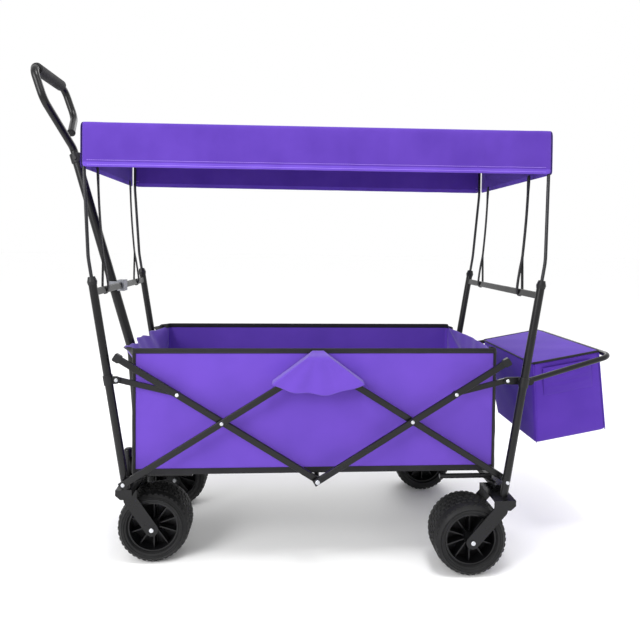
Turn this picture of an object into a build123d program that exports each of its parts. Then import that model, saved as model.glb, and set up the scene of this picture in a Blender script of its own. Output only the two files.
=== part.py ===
from build123d import *
from math import cos, radians, sin, tan
import os

# A folding pull wagon for children: two end frames joined by crossed bars on each side, a
# fabric tub between them, a fabric canopy on bent rods, a pull handle on the front frame
# and a lidded bag on the back.
# Millimetres. The ground is Z = 0, the handle is towards -X, the bag is towards +X.
# "left" is -Y and "right" is +Y; paired pieces are modelled on the right and mirrored.

# ---------------------------------------------------------------- driving sizes: the tub
tub_length = 900.0
tub_width = 440.0
tub_rim_height = 541.0
tub_base_height = 232.0
tub_wall = 4.0
board_count = 4
board_thickness = 5.0
board_gap = 4.0
mat_thickness = 12.0
soft_gap = 1.0  # air between a soft piece and its neighbour
tub_corner_radius = 10.0
hood_half_width = 108.0  # the hoods hang over the top pivots
hood_peak_half_width = 12.0
hood_depth = 109.0
hood_side_hem = 14.0
hood_wall = 2.5
hood_clearance = 3.0  # hood from the rivet heads
pocket_width = 340.0  # the flat pocket on the front panel
pocket_low = 300.0
pocket_height = 100.0
pocket_depth = 9.0
pocket_corner_radius = 14.0

# ---------------------------------------------------------------- the crossed side bars
pivot_height = 224.0  # lower pivots above the ground
pivot_setback = 9.0  # foot pivots stand beyond the tub's ends by this
bar_angle = 32.0  # bars above the horizontal, wagon open
bar_depth = 15.5
bar_thickness = 9.0
bar_wall = 1.4
bar_overhang = 9.0  # a bar runs on past its end pivots
front_bar_overhang = 27.0  # the same at the tub's front top corners
bar_edge_radius = 2.0
layer_gap = 1.0  # between two bars that cross
rivet_radius = 3.0
rivet_head_radius = 4.8
rivet_head_height = 2.6
rivet_tail = 1.2
spacer_radius = 7.0  # tubes on the rear foot rivets, between bar and upright
hub_rivet_head_radius = 6.0  # the larger rivets at the bottom centre
running_fit = 0.05  # radial, pin in hole
face_play = 0.3  # between faces that turn against each other
open_pivot_fit = 0.6  # radial, at the pivot that closes the linkage

# ---------------------------------------------------------------- end frames
tube_diameter = 19.0
tube_wall = 1.5
frame_side_gap = 17.0  # front uprights' centre lines outside the tub's sides
upright_lean = 9.07  # outwards, degrees from vertical
upright_top_height = 694.0
crossbar_height = 677.0
crossbar_depth = 17.0
crossbar_thickness = 9.0
beam_depth = 16.0
beam_width = 26.0
beam_setback = 8.0  # outboard of the foot pivots
cap_radius = 11.5
cap_height = 20.0
cap_plug_length = 12.0
corner_cap_wall = 2.0
corner_cap_length = 16.0
strut_width = 14.0
strut_thickness = 3.0
rail_diameter = 12.0
rail_height = 218.0
rail_reach = 150.0  # inboard of the foot pivot
rail_fork_offset = 28.0  # rail from the middle of its wheel
strut_run = 22.0  # a strut leans by this from its foot to the rail

# ---------------------------------------------------------------- stay links
link_depth = 13.0
link_thickness = 6.0
link_foot_height = 469.0
rear_link_foot_height = 466.0
rear_link_foot_reach = 33.0  # rear link's pivot inboard of its upright's centre line
link_tip_distance = 145.0  # along a bar from its top pivot
bracket_radius = 11.5
bracket_height = 22.0
bracket_ear = 4.0

# ---------------------------------------------------------------- wheels and forks
wheel_diameter = 178.0
wheel_width = 96.0
tyre_section = 27.0  # tread to rim seat
rim_wall = 4.0
rim_web = 4.0
spoke_count = 10
spoke_thickness = 3.0
hub_radius = 15.0
axle_radius = 4.0
axle_head_radius = 5.8
axle_head_height = 4.5
fork_side_gap = 3.0
fork_sheet = 3.0
fork_crown_length = 52.0
fork_crown_gap = 8.0  # crown's underside above the tyre
fork_flange = 24.0
fork_arm_radius = 16.0
front_fork_inset = 87.0  # middle of a front wheel inside the front upright's centre line
rear_fork_inset = 25.0  # the same at the back
fork_front_overhang = 18.0  # crown outboard of the swivel axis
fork_rear_overhang = 14.0  # crown outboard of the rear foot pivots
caster_trail = 70.0
swivel_setback = 15.0  # swivel axis outboard of the foot pivot
rear_wheel_inset = 89.0  # rear hub inboard of the rear foot pivot
swivel_pin_radius = 6.0
socket_radius = 11.0
socket_top = 275.0
socket_roof = 5.0

# ---------------------------------------------------------------- pull handle
stem_beam_gap = 2.5  # air between the stem and the beam
handle_lug = 4.0  # thickness of the two lugs that hold the pivot pin
handle_lug_radius = 8.0
handle_pivot_height = 200.0
handle_pin_radius = 5.0
stem_diameter = 25.0
stem_wall = 1.5
stem_knee_height = 500.0
stem_lower_lean = 4.4
stem_upper_lean = 16.0
stem_top_height = 1030.0
loop_corner = 22.0  # the loop's first bend above the stem's top
loop_lean = 18.5
loop_play = 1.0  # radial, the loop's tube inside the stem
loop_insert = 300.0  # length of the loop's tube kept inside the stem
loop_half_width = 107.0
loop_waist = 110.0  # up the loop's plane from the stem's top
loop_height = 200.0
loop_tail = (32.0, 52.0)
grip_wall = 5.5
grip_length = 162.0
collar_wall = 2.5
collar_height = 26.0
clip_jaw = 4.0
clip_height = 22.0

# ---------------------------------------------------------------- canopy
canopy_overhang = 31.0  # beyond the tops of the uprights
canopy_front_margin = 1.0  # side skirt outside the front uprights' centre line
canopy_rear_margin = -9.0  # the same at the back
canopy_top_height = 1078.0
canopy_skirt = 108.0
canopy_wall = 3.0
hoop_diameter = 8.0
hoop_bend_height = 760.0
hoop_bend_radius = 200.0
hoop_corner_radius = 26.0
hoop_clearance = 4.0  # hoop from the canopy's cloth
strap_half_spacing = 150.0
strap_width = 14.0
strap_thickness = 2.0
strap_fork_height = 762.0
strap_tuck = 12.0  # length sewn up inside the skirt
strap_bar_gap = 2.5  # loop from the crossbar

# ---------------------------------------------------------------- rear bag
bag_tilt = 10.5
bag_setback = 97.0  # mouth's front edge behind the rear foot pivots
bag_front_top = 491.0
bag_length = 183.0
bag_base_length = 200.0
bag_base_shift = -8.0  # the base forward of the mouth
bag_height = 226.0
bag_top_width = 366.0
bag_base_width = 274.0
bag_wall = 3.0
lid_thickness = 3.0
lid_gap = 1.5  # lid above the body's rim
lid_hinge_inset = 3.0
bag_tube_diameter = 13.0
bag_tube_reach = 194.0  # tube's rear run behind the mouth's front edge
bag_tube_rear_height = 519.0
bag_tube_side_gap = 24.0  # tube's centre line outside the bag at its rear corners
bag_tube_corner_radius = 32.0
bag_tube_bend_radius = 30.0
bag_tube_wall = 1.2
bag_tube_tail = 8.0  # tube in front of its pivot
bag_tube_straight = 14.0  # from the pivot to the first bend
bag_pivot_setback = 20.0  # behind the rear upright's centre line

# ---------------------------------------------------------------- worked-out places
half_span = tub_length / 2 + pivot_setback
tube_radius = tube_diameter / 2
stem_radius = stem_diameter / 2
loop_radius = stem_radius - stem_wall - loop_play
grip_radius = loop_radius + grip_wall
collar_radius = stem_radius + collar_wall
handle_pivot_setback = beam_setback + stem_radius + stem_beam_gap
wheel_radius = wheel_diameter / 2
bar_length = half_span / cos(radians(bar_angle))
upper_pivot_height = pivot_height + half_span * tan(radians(bar_angle))
cross_height = (pivot_height + upper_pivot_height) / 2
lean_slope = tan(radians(upright_lean))

# layers across the wagon, as distances from its middle
frame_half_width = tub_width / 2 + frame_side_gap
inner_bar_y = frame_half_width + tube_radius - bar_thickness / 2
outer_bar_y = inner_bar_y + bar_thickness + layer_gap
rear_half_width = outer_bar_y + bar_thickness / 2 + layer_gap + tube_radius
front_link_y = inner_bar_y - bar_thickness / 2 - layer_gap - link_thickness / 2
rear_link_y = outer_bar_y - bar_thickness / 2 - layer_gap - link_thickness / 2
front_fork_half_width = frame_half_width - front_fork_inset
rear_fork_half_width = rear_half_width - rear_fork_inset

fork_inside = wheel_width + 2 * fork_side_gap
crown_height = wheel_diameter + fork_crown_gap
crown_top = crown_height + fork_sheet
beam_bottom = crown_top + 3.0
beam_top = beam_bottom + beam_depth
front_hub_x = -(half_span + swivel_setback - caster_trail)
rear_hub_x = half_span - rear_wheel_inset
swivel_x = -(half_span + swivel_setback)

canopy_half_length = half_span + (upright_top_height - pivot_height) * lean_slope + canopy_overhang
canopy_front_half = frame_half_width + canopy_front_margin
canopy_rear_half = rear_half_width + canopy_rear_margin
canopy_hem_height = canopy_top_height - canopy_skirt
bag_front = half_span + bag_setback
bag_tube_rear = bag_front + bag_tube_reach
bag_tube_rear_half_width = bag_top_width / 2 + bag_tube_side_gap

hole = rivet_radius + running_fit
pieces = {}


def add(name, *shapes):
    """File solids under the name of the node that they belong to."""
    pieces.setdefault(name, []).extend(s for shape in shapes for s in shape.solids())


def add_pair(name, *shapes):
    """The right-hand piece and its mirror image on the left, in one node."""
    for shape in shapes:
        add(name, shape, mirror(shape, about=Plane.XZ))


def upright_x(z):
    """How far outboard an upright's centre line is at a height."""
    return half_span + (z - pivot_height) * lean_slope


def pin(x, z, radius, y_from, y_to):
    """A round pin across the wagon."""
    return Solid.make_cylinder(radius, y_to - y_from, Plane(origin=(x, y_from, z), z_dir=(0, 1, 0)))


def rod(a, b, radius):
    """A straight round rod between two points."""
    run = Vector(*b) - Vector(*a)
    return Solid.make_cylinder(radius, run.length, Plane(origin=a, z_dir=run))


def pipe(a, b, radius, wall):
    """A straight open-ended tube between two points."""
    return rod(a, b, radius) - rod(a, b, radius - wall)


def box(x, y, z):
    """A block from (low, high) pairs along each axis."""
    size = [high - low for low, high in (x, y, z)]
    centre = [(low + high) / 2 for low, high in (x, y, z)]
    return Pos(*centre) * Box(*size)


def slab(points, y_from, y_to):
    """A plate with an outline of (x, z) points, between two distances across the wagon."""
    outline = Polyline(*[(x, y_from, z) for x, z in points], close=True)
    return extrude(make_face(outline), amount=y_to - y_from, dir=(0, 1, 0))


def flat_link(a, b, radius, y_from, y_to):
    """A flat bar with round ends about the (x, z) points a and b."""
    run = Vector(b[0] - a[0], 0, b[1] - a[1])
    middle = ((a[0] + b[0]) / 2, y_from, (a[1] + b[1]) / 2)
    plane = Plane(origin=middle, x_dir=run, z_dir=(0, 1, 0))
    slot = plane * SlotCenterToCenter(run.length, 2 * radius)
    return extrude(slot, amount=y_to - y_from, dir=(0, 1, 0))


def bent_tube(points, radii, radius, wall=0.0):
    """A round tube along straight runs with tangent bends, solid where wall is 0."""
    path = FilletPolyline(*points, radius=radii)
    start = Plane(origin=path @ 0, z_dir=path % 0)
    tube = sweep(start * Circle(radius), path=path)
    if wall:
        tube -= sweep(start * Circle(radius - wall), path=path)
    return tube


def rivet(x, z, y_inner, y_outer, head_radius=rivet_head_radius, tail=rivet_tail):
    """A rivet across the wagon: a domed head outside y_outer and a flat tail inside y_inner."""
    shaft = pin(x, z, rivet_radius, y_inner - tail, y_outer + 1)
    head = pin(x, z, head_radius, y_outer, y_outer + rivet_head_height)
    head = fillet(head.edges().sort_by(Axis.Y)[-1:], rivet_head_height * 0.8)
    solid = shaft + head
    if tail:
        solid += pin(x, z, rivet_radius + 1.6, y_inner - tail, y_inner)
    return solid


def upright_core(side, y, z_from, z_to):
    """The room that an upright's tube takes up between two heights."""
    low = (side * upright_x(z_from), y, z_from)
    high = (side * upright_x(z_to), y, z_to)
    return rod(low, high, tube_radius)


def side_bar(a, b, y_middle, holes, overhang=bar_overhang):
    """An oblong steel tube past the (x, z) pivots a (by overhang) and b, drilled across at each hole."""
    run = Vector(b[0] - a[0], 0, b[1] - a[1])
    length = run.length + overhang + bar_overhang
    outer = Box(length, bar_depth, bar_thickness)
    outer = fillet(outer.edges().filter_by(Axis.X), bar_edge_radius)
    inner = Box(length + 2, bar_depth - 2 * bar_wall, bar_thickness - 2 * bar_wall)
    plane = Plane(
        origin=((a[0] + b[0]) / 2, y_middle, (a[1] + b[1]) / 2), x_dir=run, z_dir=(0, 1, 0)
    )
    bar = plane * Pos((bar_overhang - overhang) / 2, 0, 0) * (outer - inner)
    for x, z, radius in holes:
        bar -= pin(x, z, radius, y_middle - bar_thickness, y_middle + bar_thickness)
    return bar


def bar_point(a, b, distance):
    """The (x, z) point at a distance from a towards b."""
    share = distance / bar_length
    return (a[0] + (b[0] - a[0]) * share, a[1] + (b[1] - a[1]) * share)


# ---------------------------------------------------------------- pivots of one side, (x, z)
foot_front = (-half_span, pivot_height)
foot_rear = (half_span, pivot_height)
low_centre = (0.0, pivot_height)
top_centre = (0.0, upper_pivot_height)
top_front = (-half_span, upper_pivot_height)
top_rear = (half_span, upper_pivot_height)
cross_front = (-half_span / 2, cross_height)
cross_rear = (half_span / 2, cross_height)
link_tip_front = bar_point(top_front, low_centre, link_tip_distance)
link_tip_rear = bar_point(top_rear, low_centre, link_tip_distance)
front_link_reach = bracket_radius + link_depth / 2 + layer_gap
link_foot_front = (front_link_reach - upright_x(link_foot_height), link_foot_height)
link_foot_rear = (upright_x(rear_link_foot_height) - rear_link_foot_reach, rear_link_foot_height)


# ---------------------------------------------------------------- side bars and rivets
def make_side_bars():
    inside = inner_bar_y - bar_thickness / 2
    between = inner_bar_y + bar_thickness / 2
    outside = outer_bar_y + bar_thickness / 2

    def fast(point):
        return (*point, rivet_radius)

    def turning(point):
        return (*point, hole)

    add_pair(
        "front_upper_bars",
        side_bar(
            top_front,
            low_centre,
            inner_bar_y,
            [fast(cross_front), turning(low_centre), fast(link_tip_front)],
            front_bar_overhang,
        ),
    )
    add_pair(
        "front_lower_bars",
        side_bar(
            foot_front,
            top_centre,
            outer_bar_y,
            [turning(foot_front), turning(cross_front), fast(top_centre)],
        ),
    )
    add_pair(
        "rear_upper_bars",
        side_bar(
            top_rear,
            low_centre,
            outer_bar_y,
            [fast(cross_rear), fast(low_centre), fast(link_tip_rear)],
        ),
    )
    add_pair(
        "rear_lower_bars",
        side_bar(
            foot_rear,
            top_centre,
            inner_bar_y,
            [turning(foot_rear), turning(cross_rear), (*top_centre, rivet_radius + open_pivot_fit)],
        ),
    )
    add_pair("front_cross_rivets", rivet(*cross_front, inside, outside + face_play))
    add_pair("front_cross_rivets", rivet(*link_tip_front, inside, between, tail=0))
    add_pair("rear_cross_rivets", rivet(*cross_rear, inside - face_play, outside))
    add_pair("rear_cross_rivets", rivet(*link_tip_rear, between + layer_gap, outside, tail=0))
    add_pair("rear_cross_rivets", rivet(*low_centre, inside - face_play, outside, hub_rivet_head_radius))
    add_pair("top_centre_rivets", rivet(*top_centre, inside - face_play, outside))


def make_centre_tube():
    """A tube across under the tub, between the two bottom centre pivots."""
    reach = inner_bar_y - bar_thickness / 2 - face_play - rivet_tail
    radius = tub_base_height - pivot_height - soft_gap
    tube = pin(*low_centre, radius, -reach, reach)
    tube -= pin(*low_centre, radius - bar_wall, -reach, reach)
    add("centre_tube", tube)


def make_bar_end_caps():
    """Moulded caps over the top ends of the bars, at the tub's four corners."""
    for name, top, y_middle, overhang in (
        ("front_corner_caps", top_front, inner_bar_y, front_bar_overhang),
        ("rear_corner_caps", top_rear, outer_bar_y, bar_overhang),
    ):
        run = Vector(top[0] - low_centre[0], 0, top[1] - low_centre[1]).normalized()
        end = Vector(top[0], y_middle, top[1]) + run * overhang
        plane = Plane(origin=end, x_dir=run, z_dir=(0, 1, 0))
        wall, grip = corner_cap_wall, corner_cap_length
        outer = Box(grip + wall, bar_depth + 2 * wall, bar_thickness + layer_gap)
        outer = Pos((wall - grip) / 2, 0, 0) * fillet(outer.edges().filter_by(Axis.Z), 2 * wall)
        tunnel = Pos(-grip / 2 - 1, 0, 0) * Box(grip + 2, bar_depth, bar_thickness)
        add_pair(name, plane * (outer - tunnel))


# ---------------------------------------------------------------- stay links
def make_links():
    for name, foot, tip, y_middle in (
        ("front_stay_links", link_foot_front, link_tip_front, front_link_y),
        ("rear_stay_links", link_foot_rear, link_tip_rear, rear_link_y),
    ):
        low, high = y_middle - link_thickness / 2, y_middle + link_thickness / 2
        link = flat_link(foot, tip, link_depth / 2, low, high)
        link -= pin(*foot, hole, low - 1, high + 1)
        add_pair(name, link)


def make_brackets():
    """Moulded clamps round the uprights that carry the stay links, and at the back the bag frame."""
    for name, side, foot, half_width, link_y in (
        ("front_link_brackets", -1, link_foot_front, frame_half_width, front_link_y),
        ("rear_link_brackets", 1, link_foot_rear, rear_half_width, rear_link_y),
    ):
        z = foot[1]
        half = bracket_height / 2
        low = (side * upright_x(z - half), half_width, z - half)
        high = (side * upright_x(z + half), half_width, z + half)
        inner_face = link_y + link_thickness / 2 + face_play
        shaft_end = inner_face + bracket_ear
        upright_axis = side * upright_x(z)
        ear = flat_link(foot, (upright_axis, z), half - 2, inner_face, shaft_end)
        clamp = rod(low, high, bracket_radius) + ear
        if shaft_end < half_width - bracket_radius + 4:
            web_start = (upright_axis - side * 3, z)
            clamp += flat_link(web_start, (upright_axis, z), half - 3, inner_face, half_width)
        if side > 0:
            pivot = bag_pivot()
            bag_ear_outer = half_width - tube_radius
            bag_ear_inner = bag_ear_outer - bracket_ear
            clamp += flat_link((upright_axis, z), pivot, half - 2, bag_ear_inner, bag_ear_outer + 2)
            clamp -= pin(*pivot, axle_radius, bag_ear_outer - 10, bag_ear_outer + 10)
        clamp -= upright_core(side, half_width, z - 40, z + 40)
        clamp -= pin(*foot, rivet_radius, inner_face - 10, shaft_end + 10)
        add_pair(name, clamp)
        rivets = "front_foot_rivets" if side < 0 else "rear_foot_rivets"
        tail_face = link_y - link_thickness / 2 - face_play
        add_pair(rivets, rivet(*foot, tail_face, shaft_end))


def bag_pivot():
    """(x, z) of the bag frame's pivot on the rear uprights' brackets."""
    return (upright_x(rear_link_foot_height) + bag_pivot_setback, rear_link_foot_height)


# ---------------------------------------------------------------- end frames
def make_uprights():
    for name, side, half_width, base in (
        ("front_uprights", -1, frame_half_width, beam_top),
        ("rear_uprights", 1, rear_half_width, crown_top),
    ):
        bottom = (side * upright_x(base - 20), half_width, base - 20)
        top = (side * upright_x(upright_top_height), half_width, upright_top_height)
        tube = pipe(bottom, top, tube_radius, tube_wall)
        tube -= box((-1000, 1000), (0, 400), (base - 60, base))
        tube -= pin(side * half_span, pivot_height, rivet_radius, half_width - 20, half_width + 20)
        add_pair(name, tube)
    add_pair(
        "front_foot_rivets",
        rivet(*foot_front, frame_half_width - tube_radius, outer_bar_y + bar_thickness / 2 + face_play),
    )
    add_pair(
        "rear_foot_rivets",
        rivet(*foot_rear, inner_bar_y - bar_thickness / 2 - face_play, rear_half_width + tube_radius),
    )
    spacer_from = inner_bar_y + bar_thickness / 2 + face_play
    spacer_to = rear_half_width - tube_radius + 0.5
    spacer = pin(*foot_rear, spacer_radius, spacer_from, spacer_to)
    spacer -= pin(*foot_rear, rivet_radius, spacer_from, spacer_to)
    spacer -= upright_core(1, rear_half_width, pivot_height - 75, pivot_height + 75)
    add_pair("rear_foot_rivets", spacer)


def make_crossbars():
    for name, side, half_width in (
        ("front_crossbar", -1, frame_half_width),
        ("rear_crossbar", 1, rear_half_width),
    ):
        x = side * upright_x(crossbar_height)
        square_on = (cos(radians(upright_lean)), 0, -side * sin(radians(upright_lean)))
        plane = Plane(origin=(x, 0, crossbar_height), x_dir=(0, 1, 0), z_dir=square_on)
        bar = Box(2 * half_width, crossbar_depth, crossbar_thickness)
        bar = plane * fillet(bar.edges().filter_by(Axis.X), 2.0)
        for end in (-1, 1):
            bar -= upright_core(side, end * half_width, crossbar_height - 75, crossbar_height + 75)
        add(name, *[solid for solid in bar.solids() if solid.volume > 20000])


def make_caps():
    """Moulded plugs on top of the uprights, bored for the canopy rods."""
    for name, side, half_width in (
        ("front_upright_caps", -1, frame_half_width),
        ("rear_upright_caps", 1, rear_half_width),
    ):
        top = upright_top_height
        axis = Vector(side * lean_slope, 0, 1).normalized()
        base = Vector(side * upright_x(top), half_width, top)
        plane = Plane(origin=base, z_dir=axis)
        widest = plane.offset(cap_height * 0.4) * Circle(cap_radius)
        low = loft([plane * Circle(tube_radius + 0.5), widest])
        high = loft([widest, plane.offset(cap_height) * Circle(hoop_diameter)])
        plug_plane = plane.offset(-cap_plug_length)
        plug = Solid.make_cylinder(tube_radius - tube_wall, cap_plug_length, plug_plane)
        bore = Solid.make_cylinder(hoop_diameter / 2, cap_plug_length + cap_height + 2, plug_plane.offset(-1))
        add_pair(name, low + high + plug - bore)


def make_underframes():
    """The beam across each pair of feet, with its floor rails and struts."""
    front_beam = box(
        (-half_span - beam_setback, -half_span - beam_setback + beam_width),
        (-frame_half_width - tube_radius, frame_half_width + tube_radius),
        (beam_bottom, beam_top),
    )
    pivot_x = -(half_span + handle_pivot_setback)
    for end in (-1, 1):
        lug_face = stem_radius + face_play
        low, high = sorted((end * lug_face, end * (lug_face + handle_lug)))
        root = (-half_span + 6, handle_pivot_height)
        front_beam += flat_link((pivot_x, handle_pivot_height), root, handle_lug_radius, low, high)
        front_beam -= Pos(swivel_x, end * front_fork_half_width, 0) * Cylinder(socket_radius, 1000)
    front_beam -= pin(pivot_x, handle_pivot_height, handle_pin_radius, -40, 40)
    for low, high in ((-40, -tube_radius), (tube_radius - 2 * frame_half_width, 40 - 2 * frame_half_width)):
        tail_room = pin(*foot_front, rivet_head_radius + 1, frame_half_width + low, frame_half_width + high)
        front_beam -= tail_room
    add("front_underframe", front_beam)
    rear_beam = box(
        (half_span + beam_setback - beam_width, half_span + beam_setback),
        (-rear_half_width + tube_radius + 14, rear_half_width - tube_radius - 14),
        (crown_top, crown_top + beam_depth),
    )
    add("rear_underframe", rear_beam)
    for name, side, y, base in (
        ("front_underframe", -1, front_fork_half_width + rail_fork_offset, beam_top),
        ("rear_underframe", 1, rear_fork_half_width - rail_fork_offset, crown_top + beam_depth),
    ):
        inner = side * (half_span - rail_reach)
        outer = side * (half_span + beam_setback - beam_width)
        radius = rail_diameter / 2
        rail = rod((outer, y, rail_height), (inner, y, rail_height), radius)
        foot_x = side * (half_span + beam_setback - beam_width / 2)
        strut = slab(
            [
                (foot_x, base - 2),
                (foot_x - side * strut_width, base - 2),
                (foot_x - side * (strut_width + strut_run), rail_height),
                (foot_x - side * strut_run, rail_height),
            ],
            y - radius - strut_thickness,
            y - radius,
        )
        outboard = mirror(strut, about=Plane(origin=(0, y, 0), z_dir=(0, 1, 0)))
        cut = box((-1000, 1000), (-400, 400), (base - 60, base))
        add_pair(name, rail, strut - cut, outboard - cut)


# ---------------------------------------------------------------- wheels, forks, casters
def fork(hub_x, side, y_middle):
    """A pressed fork: a flat crown over the tyre and a side plate each side down to the axle."""
    crown_outer = swivel_x - fork_front_overhang if side < 0 else half_span + fork_rear_overhang
    crown_inner = crown_outer - side * fork_crown_length
    half = fork_inside / 2 + fork_sheet
    across = (y_middle - half, y_middle + half)
    body = box(sorted((crown_outer, crown_inner)), across, (crown_height, crown_top))
    shoulder = (crown_inner + side * fork_arm_radius, crown_top - fork_flange)
    plate = slab(
        [
            (crown_outer, crown_top),
            (crown_inner, crown_top),
            (crown_inner, crown_top - fork_flange),
            (crown_outer - side * 12, crown_top - fork_flange),
            (crown_outer, crown_top - fork_flange * 0.55),
        ],
        0,
        fork_sheet,
    )
    plate += flat_link(shoulder, (hub_x, wheel_radius), fork_arm_radius, 0, fork_sheet)
    plate -= pin(hub_x, wheel_radius, axle_radius, -1, fork_sheet + 1)
    for y in (y_middle - half, y_middle + half - fork_sheet):
        body += Pos(0, y, 0) * plate
    return body


def axle_bolt(hub_x, y_middle):
    """The axle: a bolt with a domed head outboard and a nut inboard."""
    half = fork_inside / 2 + fork_sheet
    shaft = pin(hub_x, wheel_radius, axle_radius, y_middle - half - 7, y_middle + half)
    head = pin(hub_x, wheel_radius, axle_head_radius, y_middle + half, y_middle + half + axle_head_height)
    head = fillet(head.edges().sort_by(Axis.Y)[-1:], 2.0)
    nut_plane = Plane(origin=(hub_x, y_middle - half - 6, wheel_radius), z_dir=(0, 1, 0))
    nut = extrude(nut_plane * RegularPolygon(axle_head_radius, 6), amount=6, dir=(0, 1, 0))
    return shaft + head + nut


def tyre(hub_x, y_middle):
    """A wide tyre with square shoulders, turned about the axle."""
    outer, seat = wheel_radius, wheel_radius - tyre_section
    half = wheel_width / 2
    profile = Polyline(
        (seat, 0, -half + 8),
        (seat + 6, 0, -half + 2),
        (outer - 16, 0, -half),
        (outer - 5, 0, -half + 8),
        (outer, 0, -half + 20),
        (outer, 0, half - 20),
        (outer - 5, 0, half - 8),
        (outer - 16, 0, half),
        (seat + 6, 0, half - 2),
        (seat, 0, half - 8),
        close=True,
    )
    solid = revolve(make_face(profile), Axis.Z)
    return Plane(origin=(hub_x, y_middle, wheel_radius), z_dir=(0, 1, 0)) * solid


def rim(hub_x, y_middle):
    """A moulded rim: barrel, middle web, hub and thin ribs on both faces of the web."""
    seat = wheel_radius - tyre_section
    half = wheel_width / 2 - 10
    hub_half = fork_inside / 2 - face_play
    rib_half = half - 12
    body = Cylinder(seat, 2 * half) - Cylinder(seat - rim_wall, 2 * half + 2)
    body += Cylinder(seat - 1, rim_web) + Cylinder(hub_radius, 2 * hub_half)
    rib = Pos((hub_radius + seat) / 2 - 2, 0, 0) * Box(seat - hub_radius, spoke_thickness, 2 * rib_half)
    for turn in range(spoke_count):
        body += Rotation(0, 0, 360 / spoke_count * turn) * rib
    body -= Cylinder(axle_radius + running_fit, 2 * hub_half + 2)
    return Plane(origin=(hub_x, y_middle, wheel_radius), z_dir=(0, 1, 0)) * body


def make_wheels():
    for side_name, hand in (("right", 1), ("left", -1)):
        for end_name, hub_x, half_width in (
            ("front", front_hub_x, front_fork_half_width),
            ("rear", rear_hub_x, rear_fork_half_width),
        ):
            y = hand * half_width
            add(f"{end_name}_tyre_{side_name}", tyre(hub_x, y))
            add(f"{end_name}_rim_{side_name}", rim(hub_x, y))
        caster = fork(front_hub_x, -1, front_fork_half_width)
        swivel_length = socket_top - socket_roof - 1 - crown_top
        swivel_foot = Plane(origin=(swivel_x, front_fork_half_width, crown_top))
        caster += Solid.make_cylinder(swivel_pin_radius, swivel_length, swivel_foot)
        bolt = axle_bolt(front_hub_x, front_fork_half_width)
        if hand < 0:
            caster, bolt = mirror(caster, about=Plane.XZ), mirror(bolt, about=Plane.XZ)
        add(f"caster_fork_{side_name}", caster)
        add(f"caster_axle_{side_name}", bolt)
    add_pair("rear_forks", fork(rear_hub_x, 1, rear_fork_half_width))
    add_pair("rear_axles", axle_bolt(rear_hub_x, rear_fork_half_width))
    socket_low = crown_top + 1.0
    socket_plane = Plane(origin=(swivel_x, front_fork_half_width, socket_low))
    depth = socket_top - socket_low
    socket = Solid.make_cylinder(socket_radius, depth, socket_plane)
    socket = fillet(socket.edges().sort_by(Axis.Z)[-1:], 6.0)
    socket -= Solid.make_cylinder(swivel_pin_radius + running_fit, depth - socket_roof, socket_plane)
    add_pair("swivel_sockets", socket)


# ---------------------------------------------------------------- pull handle
handle_pivot_x = -(half_span + handle_pivot_setback)
stem_foot = (handle_pivot_x, 0.0, handle_pivot_height)
knee = (
    handle_pivot_x - (stem_knee_height - handle_pivot_height) * tan(radians(stem_lower_lean)),
    0.0,
    stem_knee_height,
)
stem_top = (
    knee[0] - (stem_top_height - stem_knee_height) * tan(radians(stem_upper_lean)),
    0.0,
    stem_top_height,
)
stem_direction = Vector(-sin(radians(stem_upper_lean)), 0, cos(radians(stem_upper_lean)))
loop_up = Vector(-sin(radians(loop_lean)), 0, cos(radians(loop_lean)))


def loop_point(across, up):
    """A point of the loop's plane, as a distance across the wagon and one up from the stem's top."""
    place = Vector(*stem_top) + stem_direction * loop_corner + loop_up * up
    return (place.X, across, place.Z)


def make_handle():
    stem = bent_tube([stem_foot, knee, stem_top], [140.0], stem_radius, stem_wall)
    eye = pin(handle_pivot_x, handle_pivot_height, stem_radius, -stem_radius, stem_radius)
    stem = stem + eye - pin(handle_pivot_x, handle_pivot_height, handle_pin_radius + running_fit, -40, 40)
    add("handle_stem", stem)
    reach = stem_radius + face_play + handle_lug + 2
    handle_pin = pin(handle_pivot_x, handle_pivot_height, handle_pin_radius, -reach, reach)
    add("handle_pivot_pin", handle_pin)

    top_plane = Plane(origin=stem_top, z_dir=stem_direction)
    collar = Solid.make_cylinder(collar_radius, collar_height, top_plane.offset(6 - collar_height))
    collar = fillet(collar.edges().filter_by(GeomType.CIRCLE), 2.0)
    lock_plane = Plane(origin=top_plane.offset(-8).origin, z_dir=(0, -1, 0))
    lock = Solid.make_cylinder(5.0, collar_radius + 3, lock_plane)
    recess = Solid.make_cylinder(stem_radius, 60, top_plane.offset(-60))
    bore = Solid.make_cylinder(loop_radius + running_fit, 160, top_plane.offset(-80))
    add("handle_collar", collar + lock - recess - bore)

    inside = Vector(*stem_top) - stem_direction * loop_insert
    w = loop_half_width
    route = [
        (inside.X, 0.0, inside.Z),
        loop_point(0, 0),
        loop_point(-w, loop_waist),
        loop_point(-w + 3, loop_height),
        loop_point(w - 3, loop_height),
        loop_point(w, loop_waist),
        loop_point(*loop_tail),
    ]
    loop = bent_tube(route, [26.0, 46.0, 30.0, 30.0, 46.0], loop_radius, stem_wall)
    add("handle_loop", loop)
    grip_centre = loop_point(0, loop_height)
    half = grip_length / 2
    grip = pin(grip_centre[0], grip_centre[2], grip_radius, -half, half)
    grip = fillet(grip.edges().filter_by(GeomType.CIRCLE), 3.0)
    grip -= pin(grip_centre[0], grip_centre[2], loop_radius, -half - 1, half + 1)
    add("handle_grip", grip)
    tail_start = Vector(*loop_point(*loop_tail))
    tail_run = (tail_start - Vector(*loop_point(w, loop_waist))).normalized()
    tail_plane = Plane(origin=tail_start, z_dir=tail_run)
    add("handle_end_cap", Solid.make_cylinder(loop_radius + 1, 5, tail_plane))


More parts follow.
